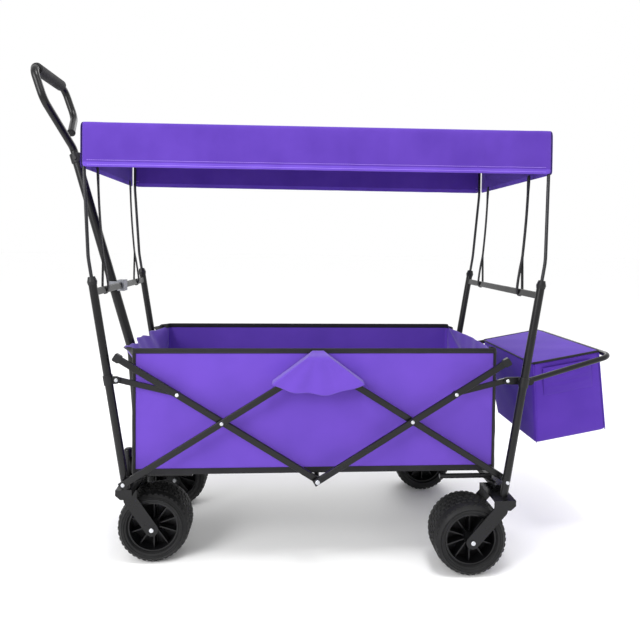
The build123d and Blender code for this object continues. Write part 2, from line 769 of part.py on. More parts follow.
def make_handle_clip():
    """A moulded clip on the front crossbar; its two jaws stand either side of the stem."""
    x_bar = -upright_x(crossbar_height)
    x_stem = knee[0] - (crossbar_height - stem_knee_height) * tan(radians(stem_upper_lean))
    jaw_gap = stem_radius + face_play
    plane = Plane(origin=(x_bar, 0, crossbar_height), x_dir=(0, 1, 0), z_dir=(-1, 0, 0))
    depth = x_bar - x_stem
    clip = plane * Box(2 * (jaw_gap + clip_jaw), clip_height + 8, 2 * crossbar_thickness)
    for end in (-1, 1):
        middle = Pos(end * (jaw_gap + clip_jaw / 2), 0, depth / 2 + 3)
        clip += plane * middle * Box(clip_jaw, clip_height, depth + 6)
    for solid in pieces["front_crossbar"]:
        clip -= solid
    stem_room = rod(knee, stem_top, stem_radius + face_play)
    forward = stem_room.moved(Location((-30, 0, 0)))
    clip = clip - stem_room - forward
    add("handle_clip", *[solid for solid in clip.solids() if solid.volume > 500])


# ---------------------------------------------------------------- canopy
def make_hoops():
    for name, side, half_width, canopy_half in (
        ("canopy_rod_front", -1, frame_half_width, canopy_front_half),
        ("canopy_rod_rear", 1, rear_half_width, canopy_rear_half),
    ):
        radius = hoop_diameter / 2
        top_x = side * (canopy_half_length - canopy_wall - radius - hoop_clearance / 2)
        top_z = canopy_top_height - canopy_wall - radius - hoop_clearance / 2
        top_y = canopy_half - canopy_wall - radius - hoop_clearance / 2
        base_z = upright_top_height - cap_plug_length + 2
        bend = (side * upright_x(hoop_bend_height), half_width, hoop_bend_height)
        base = (side * upright_x(base_z), half_width, base_z)
        entry = (top_x, top_y, canopy_hem_height - 8)
        corner = (top_x, top_y, top_z)
        route = [base, bend, entry, corner]
        route += [(x, -y, z) for x, y, z in reversed(route)]
        radii = [hoop_bend_radius, hoop_bend_radius, hoop_corner_radius]
        add(name, bent_tube(route, radii + radii[::-1], radius))


def make_canopy():
    """A flat-topped fabric cover with a skirt all round, open below."""
    def plan(inset, z):
        end = canopy_half_length - inset
        front, rear = canopy_front_half - inset, canopy_rear_half - inset
        corners = [(-end, -front, z), (end, -rear, z), (end, rear, z), (-end, front, z)]
        return make_face(Polyline(*corners, close=True))

    outer = extrude(plan(0, canopy_hem_height), amount=canopy_skirt, dir=(0, 0, 1))
    outer = chamfer(outer.edges().sort_by(Axis.Z)[-4:], 5.0)
    depth = canopy_skirt - canopy_wall
    inner = extrude(plan(canopy_wall, canopy_hem_height - 1), amount=depth + 1, dir=(0, 0, 1))
    add("canopy_cover", outer - inner)


def make_straps():
    """Elastic straps from the canopy's ends down to a loop round each crossbar."""
    for name, side in (("front_canopy_straps", -1), ("rear_canopy_straps", 1)):
        top_x = side * (canopy_half_length - canopy_wall - hoop_diameter - hoop_clearance)
        bar_x = side * upright_x(crossbar_height)
        fork_share = (strap_fork_height - crossbar_height) / (canopy_hem_height - crossbar_height)
        fork_x = bar_x + (top_x - bar_x) * fork_share
        top_z = canopy_hem_height + strap_tuck
        half = strap_thickness / 2
        band = slab(
            [
                (fork_x - half, strap_fork_height),
                (fork_x + half, strap_fork_height),
                (top_x + half, top_z),
                (top_x - half, top_z),
            ],
            strap_half_spacing - strap_width / 2,
            strap_half_spacing + strap_width / 2,
        )
        room = crossbar_thickness / 2 + strap_bar_gap
        low = crossbar_height - crossbar_depth / 2 - strap_bar_gap
        loop_outline = [
            (bar_x - room - strap_thickness, low - strap_thickness),
            (bar_x + room + strap_thickness, low - strap_thickness),
            (bar_x + room + strap_thickness, crossbar_height + crossbar_depth / 2),
            (fork_x + half, strap_fork_height),
            (fork_x - half, strap_fork_height),
            (bar_x - room - strap_thickness, crossbar_height + crossbar_depth / 2),
        ]
        opening = [
            (bar_x - room, low),
            (bar_x + room, low),
            (bar_x + room, crossbar_height + crossbar_depth / 2),
            (fork_x, strap_fork_height - 6),
            (bar_x - room, crossbar_height + crossbar_depth / 2),
        ]
        y0, y1 = strap_half_spacing - strap_width / 2, strap_half_spacing + strap_width / 2
        loop = slab(loop_outline, y0, y1) - slab(opening, y0 - 1, y1 + 1)
        add_pair(name, band + loop)


# ---------------------------------------------------------------- tub
def make_tub():
    half_l, half_w = tub_length / 2, tub_width / 2
    shell = box((-half_l, half_l), (-half_w, half_w), (tub_base_height, tub_rim_height))
    shell = fillet(shell.edges().filter_by(Axis.Z), tub_corner_radius)
    room = box(
        (-half_l + tub_wall, half_l - tub_wall),
        (-half_w + tub_wall, half_w - tub_wall),
        (tub_base_height + tub_wall, tub_rim_height + 5),
    )
    room = fillet(room.edges().filter_by(Axis.Z), tub_corner_radius - tub_wall)
    add("tub_fabric", shell - room)

    inside = tub_length - 2 * tub_wall - 2 * soft_gap
    pitch = inside / board_count
    width = tub_width / 2 - tub_wall - soft_gap
    board_low = tub_base_height + tub_wall
    for index in range(board_count):
        low = -inside / 2 + index * pitch + board_gap / 2
        board = box((low, low + pitch - board_gap), (-width, width), (board_low, board_low + board_thickness))
        add("floor_boards", fillet(board.edges().filter_by(Axis.Z), 5.0))
    mat_low = board_low + board_thickness
    mat = box((-inside / 2, inside / 2), (-width, width), (mat_low, mat_low + mat_thickness))
    mat = fillet(mat.edges().filter_by(Axis.Z), 5.5)
    add("floor_mat", mat)


def make_pockets():
    """The hoods over the top centre pivots, and the flat pocket on the front panel."""
    low = tub_rim_height - hood_depth
    peak = tub_rim_height - 3
    spread, shoulder = hood_half_width, hood_peak_half_width
    inner = tub_width / 2 + soft_gap
    outer = outer_bar_y + bar_thickness / 2 + rivet_head_height + hood_clearance
    outline = [
        (-spread, low),
        (spread, low),
        (spread, low + hood_side_hem),
        (shoulder, peak),
        (-shoulder, peak),
        (-spread, low + hood_side_hem),
    ]
    roof = upper_pivot_height + bar_depth + 4
    reach = spread + 20
    roof_end = upper_pivot_height - reach * tan(radians(bar_angle)) + bar_depth
    room = [
        (-reach, low - 5),
        (reach, low - 5),
        (reach, roof_end),
        (2 * shoulder, roof - 7),
        (shoulder, roof),
        (-shoulder, roof),
        (-2 * shoulder, roof - 7),
        (-reach, roof_end),
    ]
    hood = slab(outline, inner, outer + hood_wall) - slab(room, inner + hood_wall, outer)
    add_pair("tub_pockets", hood)
    back = -tub_length / 2 - soft_gap
    pocket = box(
        (back - pocket_depth, back),
        (-pocket_width / 2, pocket_width / 2),
        (pocket_low, pocket_low + pocket_height),
    )
    add("tub_pockets", fillet(pocket.edges().filter_by(Axis.X), pocket_corner_radius))


# ---------------------------------------------------------------- rear bag
def bag_place(shape):
    """Tilt a shape about the bag's top front edge and set it behind the wagon."""
    return Location((bag_front, 0, bag_front_top)) * Rotation(0, -bag_tilt, 0) * shape


def make_bag():
    def section(start, length, width, z, inset=0.0):
        corners = [
            (start + inset, -width / 2 + inset, z),
            (start + length - inset, -width / 2 + inset, z),
            (start + length - inset, width / 2 - inset, z),
            (start + inset, width / 2 - inset, z),
        ]
        return make_face(Polyline(*corners, close=True))

    outer = loft(
        [
            section(bag_base_shift, bag_base_length, bag_base_width, -bag_height),
            section(0, bag_length, bag_top_width, 0),
        ]
    )
    grow = 2 * bag_wall * (bag_top_width - bag_base_width) / bag_height
    base_inside = bag_wall - bag_height
    inner = loft(
        [
            section(bag_base_shift, bag_base_length, bag_base_width + grow, base_inside, bag_wall),
            section(0, bag_length, bag_top_width + grow, bag_wall, bag_wall),
        ]
    )
    add("bag_body", bag_place(outer - inner))

    half = bag_top_width / 2
    lid = box((lid_hinge_inset, bag_length), (-half, half), (lid_gap, lid_gap + lid_thickness))
    bead_radius = lid_thickness / 2 + 0.6
    lid += pin(lid_hinge_inset, lid_gap + lid_thickness / 2, bead_radius, -half, half)
    add("bag_lid", bag_place(lid))

    pivot = bag_pivot()
    leg_y = rear_half_width - tube_radius - bracket_ear - face_play - bag_tube_diameter / 2
    slope = (bag_tube_rear_height - pivot[1]) / (bag_tube_rear - pivot[0])
    start = (pivot[0] - bag_tube_tail, leg_y, pivot[1] - bag_tube_tail * slope)
    straight = (pivot[0] + bag_tube_straight, leg_y, pivot[1] + bag_tube_straight * slope)
    corner = (bag_tube_rear, bag_tube_rear_half_width, bag_tube_rear_height)
    route = [start, straight, corner]
    route += [(x, -y, z) for x, y, z in reversed(route)]
    radii = [bag_tube_bend_radius, bag_tube_corner_radius]
    tube = bent_tube(route, radii + radii[::-1], bag_tube_diameter / 2, bag_tube_wall)
    for hand in (-1, 1):
        low, high = sorted((hand * (leg_y - 12), hand * (leg_y + 12)))
        tube -= pin(*pivot, axle_radius + running_fit, low, high)
    add("bag_frame", tube)
    leg_face = leg_y - bag_tube_diameter / 2
    pivot_pin = pin(*pivot, axle_radius, leg_face - 2, rear_half_width - tube_radius + 2)
    head = pin(*pivot, axle_radius + 2, leg_face - 4, leg_face - face_play)
    add_pair("bag_pivot_pins", pivot_pin + head)


make_side_bars()
make_centre_tube()
make_bar_end_caps()
make_links()
make_brackets()
make_uprights()
make_crossbars()
make_caps()
make_underframes()
make_wheels()
make_handle()
make_handle_clip()
make_hoops()
make_canopy()
make_straps()
make_tub()
make_pockets()
make_bag()

# The row's origin is on the ground, under the middle of the whole wagon.
everything = Compound(children=[solid for group in pieces.values() for solid in group])
extent = everything.bounding_box()
origin_x = (extent.min.X + extent.max.X) / 2

if __name__ == "__main__":
    os.makedirs("parts", exist_ok=True)
    for node, solids in pieces.items():
        placed = [solid.moved(Location((-origin_x, 0, 0))) for solid in solids]
        export_step(Compound(children=placed), f"parts/{node}.step")
    print(len(pieces), "nodes, origin shift", round(origin_x, 3), extent)
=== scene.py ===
# %% [markdown]
# # A folding pull wagon, finished in Blender
# The steel frame, wheels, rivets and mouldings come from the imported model, and every Blender piece rides on one
# of its bodies. This notebook gives those parts their real surfaces and sews the fabric: the tub, its black
# tape, the canopy, the bag, the webbing and the treaded tyres.

# %% Load the frame
import math

import bmesh
import bpy
import numpy as np
from mathutils import Matrix, Vector


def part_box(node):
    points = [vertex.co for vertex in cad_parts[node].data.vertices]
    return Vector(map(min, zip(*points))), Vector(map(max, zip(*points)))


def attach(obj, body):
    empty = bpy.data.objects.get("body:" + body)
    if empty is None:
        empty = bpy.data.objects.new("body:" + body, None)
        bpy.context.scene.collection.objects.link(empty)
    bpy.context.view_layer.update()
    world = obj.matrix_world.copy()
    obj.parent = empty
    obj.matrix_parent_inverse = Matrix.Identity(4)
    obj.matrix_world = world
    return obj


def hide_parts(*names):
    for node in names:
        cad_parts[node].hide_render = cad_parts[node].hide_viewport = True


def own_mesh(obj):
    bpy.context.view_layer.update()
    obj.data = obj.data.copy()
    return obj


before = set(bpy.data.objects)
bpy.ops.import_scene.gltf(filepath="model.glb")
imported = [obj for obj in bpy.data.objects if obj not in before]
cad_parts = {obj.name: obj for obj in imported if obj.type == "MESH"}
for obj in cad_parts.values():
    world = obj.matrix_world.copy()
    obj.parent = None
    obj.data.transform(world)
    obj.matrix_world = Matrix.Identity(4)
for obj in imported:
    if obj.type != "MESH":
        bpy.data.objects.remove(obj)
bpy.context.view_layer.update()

# %% [markdown]
# ## Where things are
# Lengths are metres, as in the frame. The tub's box gives the wagon's middle and the corners that most of the
# fabric starts from, so that no number here repeats a size that the model already holds.

# %% Places read from the frame, and a helper that puts things in the scene
tub_low, tub_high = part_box("tub_fabric")
middle = (tub_low.x + tub_high.x) / 2
half_length = (tub_high.x - tub_low.x) / 2
half_width = (tub_high.y - tub_low.y) / 2
rim_z, base_z = tub_high.z, tub_low.z
MM = 0.001


def put(name, data):
    """A new object for a mesh, lamp or camera, linked into the scene."""
    made = bpy.data.objects.new(name, data)
    bpy.context.scene.collection.objects.link(made)
    return made


print("tub", round(2 * half_length, 3), "by", round(2 * half_width, 3), "middle at x", round(middle, 4))

# %% [markdown]
# ## The camera
# The view is from beside the wagon, a little above the rim, with a moderate wide lens. A camera's own axes are
# built from its heading, pitch and roll. The frame sits low in the picture, so the lens is shifted rather than
# tilted, which keeps the uprights from leaning together.

# %% Camera
heading, pitch, roll = 0.062, 0.03, 0.011
EYE = (middle - 0.084, -1.611, 0.795)
ahead = Vector((math.sin(heading) * math.cos(pitch), math.cos(heading) * math.cos(pitch), -math.sin(pitch)))
level = Vector((math.cos(heading), -math.sin(heading), 0))
above = level.cross(ahead)
right = level * math.cos(roll) + above * math.sin(roll)
up = above * math.cos(roll) - level * math.sin(roll)
camera = put("camera", bpy.data.cameras.new("camera"))
camera.matrix_world = Matrix.Translation(EYE) @ Matrix((right, up, -ahead)).transposed().to_4x4()
camera.data.lens = 32.17
camera.data.shift_y = -0.0911
bpy.context.scene.camera = camera

# %% [markdown]
# ## Floor and light
# A pale floor runs up into nothing, and the light is a bright even room with one large soft lamp on the handle's
# side and a weaker one on the bag's. Soft lamps give fabric its folds and give black tube the long pale
# highlight that shows that it is round.

# %% Colours
def linear(hex_colour, alpha=1.0):
    """An sRGB hex colour as the linear RGBA that sockets take."""
    channels = [int(hex_colour[i:i + 2], 16) / 255 for i in (1, 3, 5)]
    return [c / 12.92 if c <= 0.04045 else ((c + 0.055) / 1.055) ** 2.4 for c in channels] + [alpha]


# %% One function that adds a node
def add(tree, kind, inputs=None, **settings):
    """Adds a node. Inputs are socket names or numbers with a value, or another node's output to link."""
    made = tree.nodes.new(kind)
    for name, value in settings.items():
        setattr(made, name, value)
    for key, value in (inputs or {}).items():
        if isinstance(value, bpy.types.NodeSocket):
            tree.links.new(value, made.inputs[key])
        else:
            made.inputs[key].default_value = value
    return made


# %% Floor, room and lamps
def soft_lamp(name, place, target, size, watts):
    lamp = put(name, bpy.data.lights.new(name, "AREA"))
    lamp.data.size, lamp.data.energy = size, watts
    lamp.location = place
    lamp.rotation_mode = "QUATERNION"
    lamp.rotation_quaternion = (Vector(target) - Vector(place)).to_track_quat("-Z", "Y")


world = bpy.data.worlds.new("studio")
world.use_nodes = True
bpy.context.scene.world = world
background = world.node_tree.nodes["Background"].inputs
background["Color"].default_value, background["Strength"].default_value = linear("#FFFFFF"), 1.0
aim = (middle, 0, 0.6)
soft_lamp("lamp_handle_side", (middle - 1.8, -1.9, 1.7), aim, 1.2, 42)
soft_lamp("lamp_above", (middle + 0.3, -0.9, 3.0), aim, 0.7, 34)
soft_lamp("lamp_behind", (middle + 0.6, 2.4, 2.2), aim, 1.8, 24)
bpy.context.scene.view_settings.view_transform = "Standard"

floor_mesh = bpy.data.meshes.new("floor")
reach = 40.0
floor_mesh.from_pydata(
    [(-reach, -reach, 0), (reach, -reach, 0), (reach, reach, 0), (-reach, reach, 0)], [], [(0, 1, 2, 3)])
floor = put("floor", floor_mesh)
floor_paint = bpy.data.materials.new("Studio floor paint, white")
floor_paint.use_nodes = True
floor_paint.node_tree.nodes["Principled BSDF"].inputs["Base Color"].default_value = linear("#FFFFFF")
floor_paint.node_tree.nodes["Principled BSDF"].inputs["Roughness"].default_value = 0.9
floor_mesh.materials.append(floor_paint)
print("camera, floor and three soft lamps are in place")

# %% [markdown]
# ## Materials: what every one shares
# A new material is a Principled shader with its constants set on its own sockets. Patterns are nodes whose scale
# comes from a real size in millimetres. A Noise texture repeats about once a unit, so a grain of so many
# millimetres needs a scale of one over that length. A Wave's bands repeat every pi / 10 units at scale 1.

# %% Material helpers
def new_material(name, hex_colour, roughness, **sockets):
    made = bpy.data.materials.new(name)
    made.use_nodes = True
    shader = made.node_tree.nodes["Principled BSDF"]
    shader.inputs["Base Color"].default_value = linear(hex_colour)
    shader.inputs["Roughness"].default_value = roughness
    for key, value in sockets.items():
        shader.inputs[key.replace("_", " ")].default_value = value
    return made, made.node_tree, shader


def grains(size_mm):
    return 1 / (size_mm * MM)


def bands(size_mm):
    return math.pi / 10 / (size_mm * MM)


def mottle(tree, shader, coords, patch_mm, dark, pale):
    """Colour that drifts between two hex values in patches of about this size."""
    noise = add(tree, "ShaderNodeTexNoise", {"Vector": coords, "Scale": grains(patch_mm), "Detail": 3.0})
    ramp = add(tree, "ShaderNodeValToRGB", {"Fac": noise.outputs["Fac"]})
    for stop, place, colour in zip(ramp.color_ramp.elements, (0.32, 0.68), (dark, pale)):
        stop.position, stop.color = place, linear(colour)
    tree.links.new(ramp.outputs["Color"], shader.inputs["Base Color"])


def rough_patches(tree, shader, coords, patch_mm, low, high):
    """Roughness that wanders between two values, as handling and dust leave it."""
    noise = add(tree, "ShaderNodeTexNoise", {"Vector": coords, "Scale": grains(patch_mm), "Detail": 4.0})
    spread = add(tree, "ShaderNodeMapRange", {
        "Value": noise.outputs["Fac"], "From Min": 0.3, "From Max": 0.7, "To Min": low, "To Max": high})
    tree.links.new(spread.outputs["Result"], shader.inputs["Roughness"])


def bump(tree, shader, height, depth_mm, strength=1.0, under=None):
    """Relief of a real depth; another bump's output can be given to lie under it."""
    inputs = {"Height": height, "Distance": depth_mm * MM, "Strength": strength}
    if under:
        inputs["Normal"] = under
    made = add(tree, "ShaderNodeBump", inputs)
    tree.links.new(made.outputs["Normal"], shader.inputs["Normal"])
    return made.outputs["Normal"]


# %% [markdown]
# ## Woven polyester
# The tub, canopy and bag are coated polyester, woven plain from threads of about half a millimetre. That is too
# fine to show from two metres, so the threads are drawn at nearly two. The weave follows each piece's own UV
# map, which is laid out in metres, so it turns with the cloth. Two crossing waves make the threads, soft long
# creases lie under them, and the colour drifts a little as dyed cloth does. Sheen gives the pale edge that
# fabric has where it turns away.

# %% Woven polyester
THREAD_MM = 1.8


def woven_polyester(name, dark, pale, roughness=0.78, sheen=0.25, crease_mm=0.9):
    made, tree, shader = new_material(name, pale, roughness, Sheen_Weight=sheen, Sheen_Roughness=0.5,
                                      Specular_IOR_Level=0.2)
    cloth = add(tree, "ShaderNodeUVMap", uv_map="cloth").outputs["UV"]
    mottle(tree, shader, cloth, 140, dark, pale)
    crease = add(tree, "ShaderNodeTexNoise", {
        "Vector": cloth, "Scale": grains(55), "Detail": 2.0, "Roughness": 0.4})
    under = bump(tree, shader, crease.outputs["Fac"], crease_mm)
    threads = [add(tree, "ShaderNodeTexWave", {"Vector": cloth, "Scale": bands(THREAD_MM)}, bands_direction=way)
               for way in "XY"]
    weave = add(tree, "ShaderNodeMath", {0: threads[0].outputs["Fac"], 1: threads[1].outputs["Fac"]},
                operation="MULTIPLY")
    bump(tree, shader, weave.outputs["Value"], 0.12, 0.5, under)
    return made


purple_cloth = woven_polyester("Polyester Oxford cloth, purple", "#5B3BA8", "#6340B2")
canopy_cloth = woven_polyester("Polyester canopy cloth, purple", "#4A2B92", "#54349E", sheen=0.08, crease_mm=1.3)
hem_cloth = woven_polyester("Polyester canopy cloth, hemmed double", "#5B3DAA", "#6646B8",
                            sheen=0.08, crease_mm=0.7)
bag_cloth = woven_polyester("Polyester bag cloth, purple", "#4C2A9A", "#5430A4", sheen=0.06, crease_mm=1.1)
black_cloth = woven_polyester("Polyester lining cloth, black", "#0B0B0D", "#111013", 0.85, 0.04)
print("woven cloth at", THREAD_MM, "mm a thread")

# %% [markdown]
# ## Webbing and edge tape
# The rims are bound in black polypropylene tape and the straps are elastic webbing. Both are ribbed across
# their length, which gives a dull grey sheen along them.

# %% Webbing
def webbing(name, dark, pale, rib_mm):
    made, tree, shader = new_material(name, pale, 0.62, Sheen_Weight=0.06, Sheen_Roughness=0.4,
                                      Specular_IOR_Level=0.3)
    cloth = add(tree, "ShaderNodeUVMap", uv_map="cloth").outputs["UV"]
    mottle(tree, shader, cloth, 60, dark, pale)
    ribs = add(tree, "ShaderNodeTexWave", {"Vector": cloth, "Scale": bands(rib_mm)}, bands_direction="X")
    bump(tree, shader, ribs.outputs["Fac"], 0.25, 0.6)
    return made


edge_tape = webbing("Polypropylene edge tape, black", "#0E0D11", "#18171C", 2.0)
elastic = webbing("Elastic webbing, black", "#08080A", "#0F0E12", 1.6)

# %% [markdown]
# ## Powder-coated steel
# Powder is sprayed on dry and baked, so it flows to a satin film with a faint orange peel. The peel is a fine
# noise of about 1.5 mm, and the gloss wanders where hands and straps have rubbed it.

# %% Powder coat
def powder_coat(name, dark, pale, gloss=(0.24, 0.36)):
    made, tree, shader = new_material(name, pale, 0.3, Specular_IOR_Level=0.32)
    place = add(tree, "ShaderNodeTexCoord").outputs["Object"]
    mottle(tree, shader, place, 90, dark, pale)
    rough_patches(tree, shader, place, 45, *gloss)
    peel = add(tree, "ShaderNodeTexNoise", {"Vector": place, "Scale": grains(1.5), "Detail": 2.0})
    bump(tree, shader, peel.outputs["Fac"], 0.08, 0.5)
    return made


frame_black = powder_coat("Powder-coated steel, satin black", "#060607", "#0C0C0E")
rod_black = powder_coat("Powder-coated spring steel rod, black", "#1A1A1D", "#26262A", (0.22, 0.34))

# %% [markdown]
# ## Bright zinc, moulded plastics, rubber and foam
# Rivets and bolts are zinc plated: a metal, brushed fine by the tumbling barrel. Caps, clamps and rims are
# moulded nylon and polypropylene with a spark-eroded grain. Tyres are a matt EVA foam with a dusty bloom, and
# the grip is a softer foam whose cells show as tiny pits.

# %% Metal, plastic, rubber and foam
def grained(name, dark, pale, roughness, grain_mm, depth_mm, texture="ShaderNodeTexNoise", output="Fac",
            **sockets):
    made, tree, shader = new_material(name, pale, roughness, **sockets)
    place = add(tree, "ShaderNodeTexCoord").outputs["Object"]
    mottle(tree, shader, place, 35, dark, pale)
    rough_patches(tree, shader, place, 25, roughness - 0.07, roughness + 0.07)
    grain = add(tree, texture, {"Vector": place, "Scale": grains(grain_mm)})
    bump(tree, shader, grain.outputs[output], depth_mm, 0.6)
    return made


zinc = grained("Zinc-plated steel, bright", "#B4B6BA", "#D8DADD", 0.27, 0.8, 0.02, Metallic=1.0)
nylon = grained("Moulded nylon, black", "#08080A", "#0E0E11", 0.42, 0.9, 0.05, Specular_IOR_Level=0.35)
rim_plastic = grained("Moulded polypropylene, black", "#08080A", "#0E0E10", 0.36, 0.9, 0.04,
                      Specular_IOR_Level=0.35)
tyre_foam = grained("Moulded EVA tyre, black", "#0C0C0D", "#141415", 0.6, 1.2, 0.12, Specular_IOR_Level=0.3)
grip_foam = grained("EVA grip foam, black", "#080809", "#0E0E0F", 0.8, 1.4, 0.25,
                    "ShaderNodeTexVoronoi", "Distance")
grey_plastic = grained("Moulded ABS, grey", "#6E7076", "#83858B", 0.4, 0.9, 0.04)
board_plastic = grained("Extruded board, black", "#1A1A1C", "#242427", 0.6, 1.5, 0.08)
print("materials:", len(bpy.data.materials))

# %% [markdown]
# ## Surfaces for the parts that stay as the model has them
# A finish is chosen by what a node is made of, so each word in the list below takes in every node that has it in
# its name. The first match wins.

# %% Dress the CAD nodes
FINISHES = [
    (("bag_pivot_pins",), nylon),
    (("rivet", "axle", "pin"), zinc),
    (("canopy_rod",), rod_black),
    (("grip",), grip_foam),
    (("clip",), grey_plastic),
    (("caps", "end_cap", "bracket", "collar"), nylon),
    (("rim",), rim_plastic),
    (("boards",), board_plastic),
]


def finish_for(node_name):
    for words, material in FINISHES:
        if any(word in node_name for word in words):
            return material
    return frame_black


for node_name, node_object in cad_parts.items():
    node_object.data.materials.clear()
    node_object.data.materials.append(finish_for(node_name))
print("dressed", len(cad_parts), "nodes")

# %% [markdown]
# ## Cloth as rows of points
# Every sewn panel here is a grid: rows of points with faces between them. The same helper gives each face a UV
# map measured along the cloth in metres, so that the weave is the same size on every piece.

# %% A sheet from rows of points
def shade(mesh, smoothly=True):
    mesh.polygons.foreach_set("use_smooth", [smoothly] * len(mesh.polygons))


def sheet_mesh(name, rows, material, closed=False):
    """A mesh through a rows x columns x 3 array; closed joins each row's end to its start."""
    rows = np.asarray(rows, float)
    count, width = rows.shape[:2]
    wrapped = np.concatenate([rows, rows[:, :1]], axis=1) if closed else rows
    along = np.zeros(wrapped.shape[:2])
    along[:, 1:] = np.cumsum(np.linalg.norm(np.diff(wrapped, axis=1), axis=2), axis=1)
    along[:] = along.mean(axis=0)
    across = np.zeros(wrapped.shape[:2])
    across[1:] = np.cumsum(np.linalg.norm(np.diff(wrapped, axis=0), axis=2), axis=0)
    faces, corners = [], []
    for i in range(count - 1):
        for j in range(width if closed else width - 1):
            k = (j + 1) % width
            faces.append((i * width + j, i * width + k, (i + 1) * width + k, (i + 1) * width + j))
            corners += [(i, j), (i, j + 1), (i + 1, j + 1), (i + 1, j)]
    mesh = bpy.data.meshes.new(name)
    mesh.from_pydata(rows.reshape(-1, 3).tolist(), [], faces)
    uv = mesh.uv_layers.new(name="cloth")
    for loop, (i, j) in enumerate(corners):
        uv.data[loop].uv = (along[i, j], across[i, j])
    mesh.materials.append(material)
    shade(mesh)
    return put(name, mesh)


def grid(columns, rows, point):
    """Rows of points, each a function of its shares across and up the grid."""
    return [[point(j / (columns - 1), i / (rows - 1)) for j in range(columns)] for i in range(rows)]


def points_of(piece, shape=(-1,)):
    flat = np.zeros(len(piece.data.vertices) * 3)
    piece.data.vertices.foreach_get("co", flat)
    return flat.reshape(*shape, 3)


def smooth(t):
    t = np.clip(t, 0, 1)
    return t * t * (3 - 2 * t)


# %% [markdown]
# ## Thickness, and a short fall under gravity
# Cloth gets its wall from Solidify and its soft edge from one level of Subdivision. Before that, a piece can be
# let go for a moment in Blender's cloth solver. The points where it is sewn or stretched over tube are pinned,
# the rest has a little spare length, and it sags and creases by itself. No point may move further than a cap,
# so the piece stays in the room that the model keeps for it.

# %% Finish and drape helpers
def thicken(piece, wall, levels=1, offset=0.0):
    made = piece.modifiers.new("wall", "SOLIDIFY")
    made.thickness, made.offset, made.use_even_offset = wall, offset, True
    if levels:
        soft = piece.modifiers.new("soft", "SUBSURF")
        soft.levels = soft.render_levels = levels
    return piece


def bake(piece):
    """Turns a piece's modifiers into plain mesh."""
    graph = bpy.context.evaluated_depsgraph_get()
    made = bpy.data.meshes.new_from_object(piece.evaluated_get(graph))
    piece.modifiers.clear()
    piece.data = made
    return piece


def drape(piece, pinned, slack, cap, frames=18):
    """Lets a sheet fall for some frames with the pinned points held, and keeps where it lands."""
    rest = points_of(piece)
    group = piece.vertex_groups.new(name="sewn")
    group.add([int(i) for i in np.flatnonzero(pinned)], 1.0, "REPLACE")
    cloth = piece.modifiers.new("cloth", "CLOTH")
    how = {"vertex_group_mass": "sewn", "quality": 6, "mass": 0.25, "tension_stiffness": 20,
           "compression_stiffness": 20, "bending_stiffness": 0.8, "shrink_min": -slack}
    for setting, value in how.items():
        setattr(cloth.settings, setting, value)
    scene = bpy.context.scene
    cloth.point_cache.frame_start, cloth.point_cache.frame_end = 1, frames
    for step in range(1, frames + 1):
        scene.frame_set(step)
    graph = bpy.context.evaluated_depsgraph_get()
    landed = np.array([v.co for v in piece.evaluated_get(graph).data.vertices], float)
    piece.modifiers.remove(cloth)
    piece.vertex_groups.clear()
    scene.frame_set(1)
    moved = landed - rest
    far = np.linalg.norm(moved, axis=1)
    moved *= np.minimum(1, cap / np.maximum(far, 1e-9))[:, None]
    piece.data.vertices.foreach_set("co", (rest + moved).ravel())
    piece.data.update()
    print(piece.name, "draped, furthest point moved", round(float(far.max()) * 1000, 1), "mm")


# %% [markdown]
# ## The tub
# The tub is one band of cloth sewn to a floor. Its long sides are pulled flat by the crossed bars, while the two
# ends only hang between the corners, so their top edges bow outwards and crease. The band is a grid around the
# wagon: the long sides are pinned, and the ends are given 3% of spare cloth and dropped.

# %% The tub's outline in plan
CORNER = 0.010
STEP = 0.0125


def outline(half_x, half_y, radius, along_x, along_y):
    """Points round a rounded rectangle from its -X, +Y end, with a tag for the side that each is on."""
    sides = [("front", (-half_x, half_y - radius), (-half_x, radius - half_y), along_y),
             ("left", (radius - half_x, -half_y), (half_x - radius, -half_y), along_x),
             ("rear", (half_x, radius - half_y), (half_x, half_y - radius), along_y),
             ("right", (half_x - radius, half_y), (radius - half_x, half_y), along_x)]
    centres = [(radius - half_x, radius - half_y), (half_x - radius, radius - half_y),
               (half_x - radius, half_y - radius), (radius - half_x, half_y - radius)]
    points, tags = [], []
    for number, ((tag, a, b, count), centre) in enumerate(zip(sides, centres)):
        for k in range(count + 1):
            points.append([a[0] + (b[0] - a[0]) * k / count, a[1] + (b[1] - a[1]) * k / count])
            tags.append(tag)
        for k in range(1, 4):
            turn = math.pi * (1 + number / 2) + math.pi / 2 * k / 4
            points.append([centre[0] + radius * math.cos(turn), centre[1] + radius * math.sin(turn)])
            tags.append("corner")
    return np.array(points), np.array(tags)


plan, tags = outline(half_length - 1.5 * MM, half_width - 1.5 * MM, CORNER,
                     round(2 * half_length / STEP), round(2 * half_width / STEP))
rows_up = 26
levels_up = np.linspace(base_z + 1 * MM, rim_z - 2 * MM, rows_up)
print("tub band:", len(plan), "columns by", rows_up, "rows")

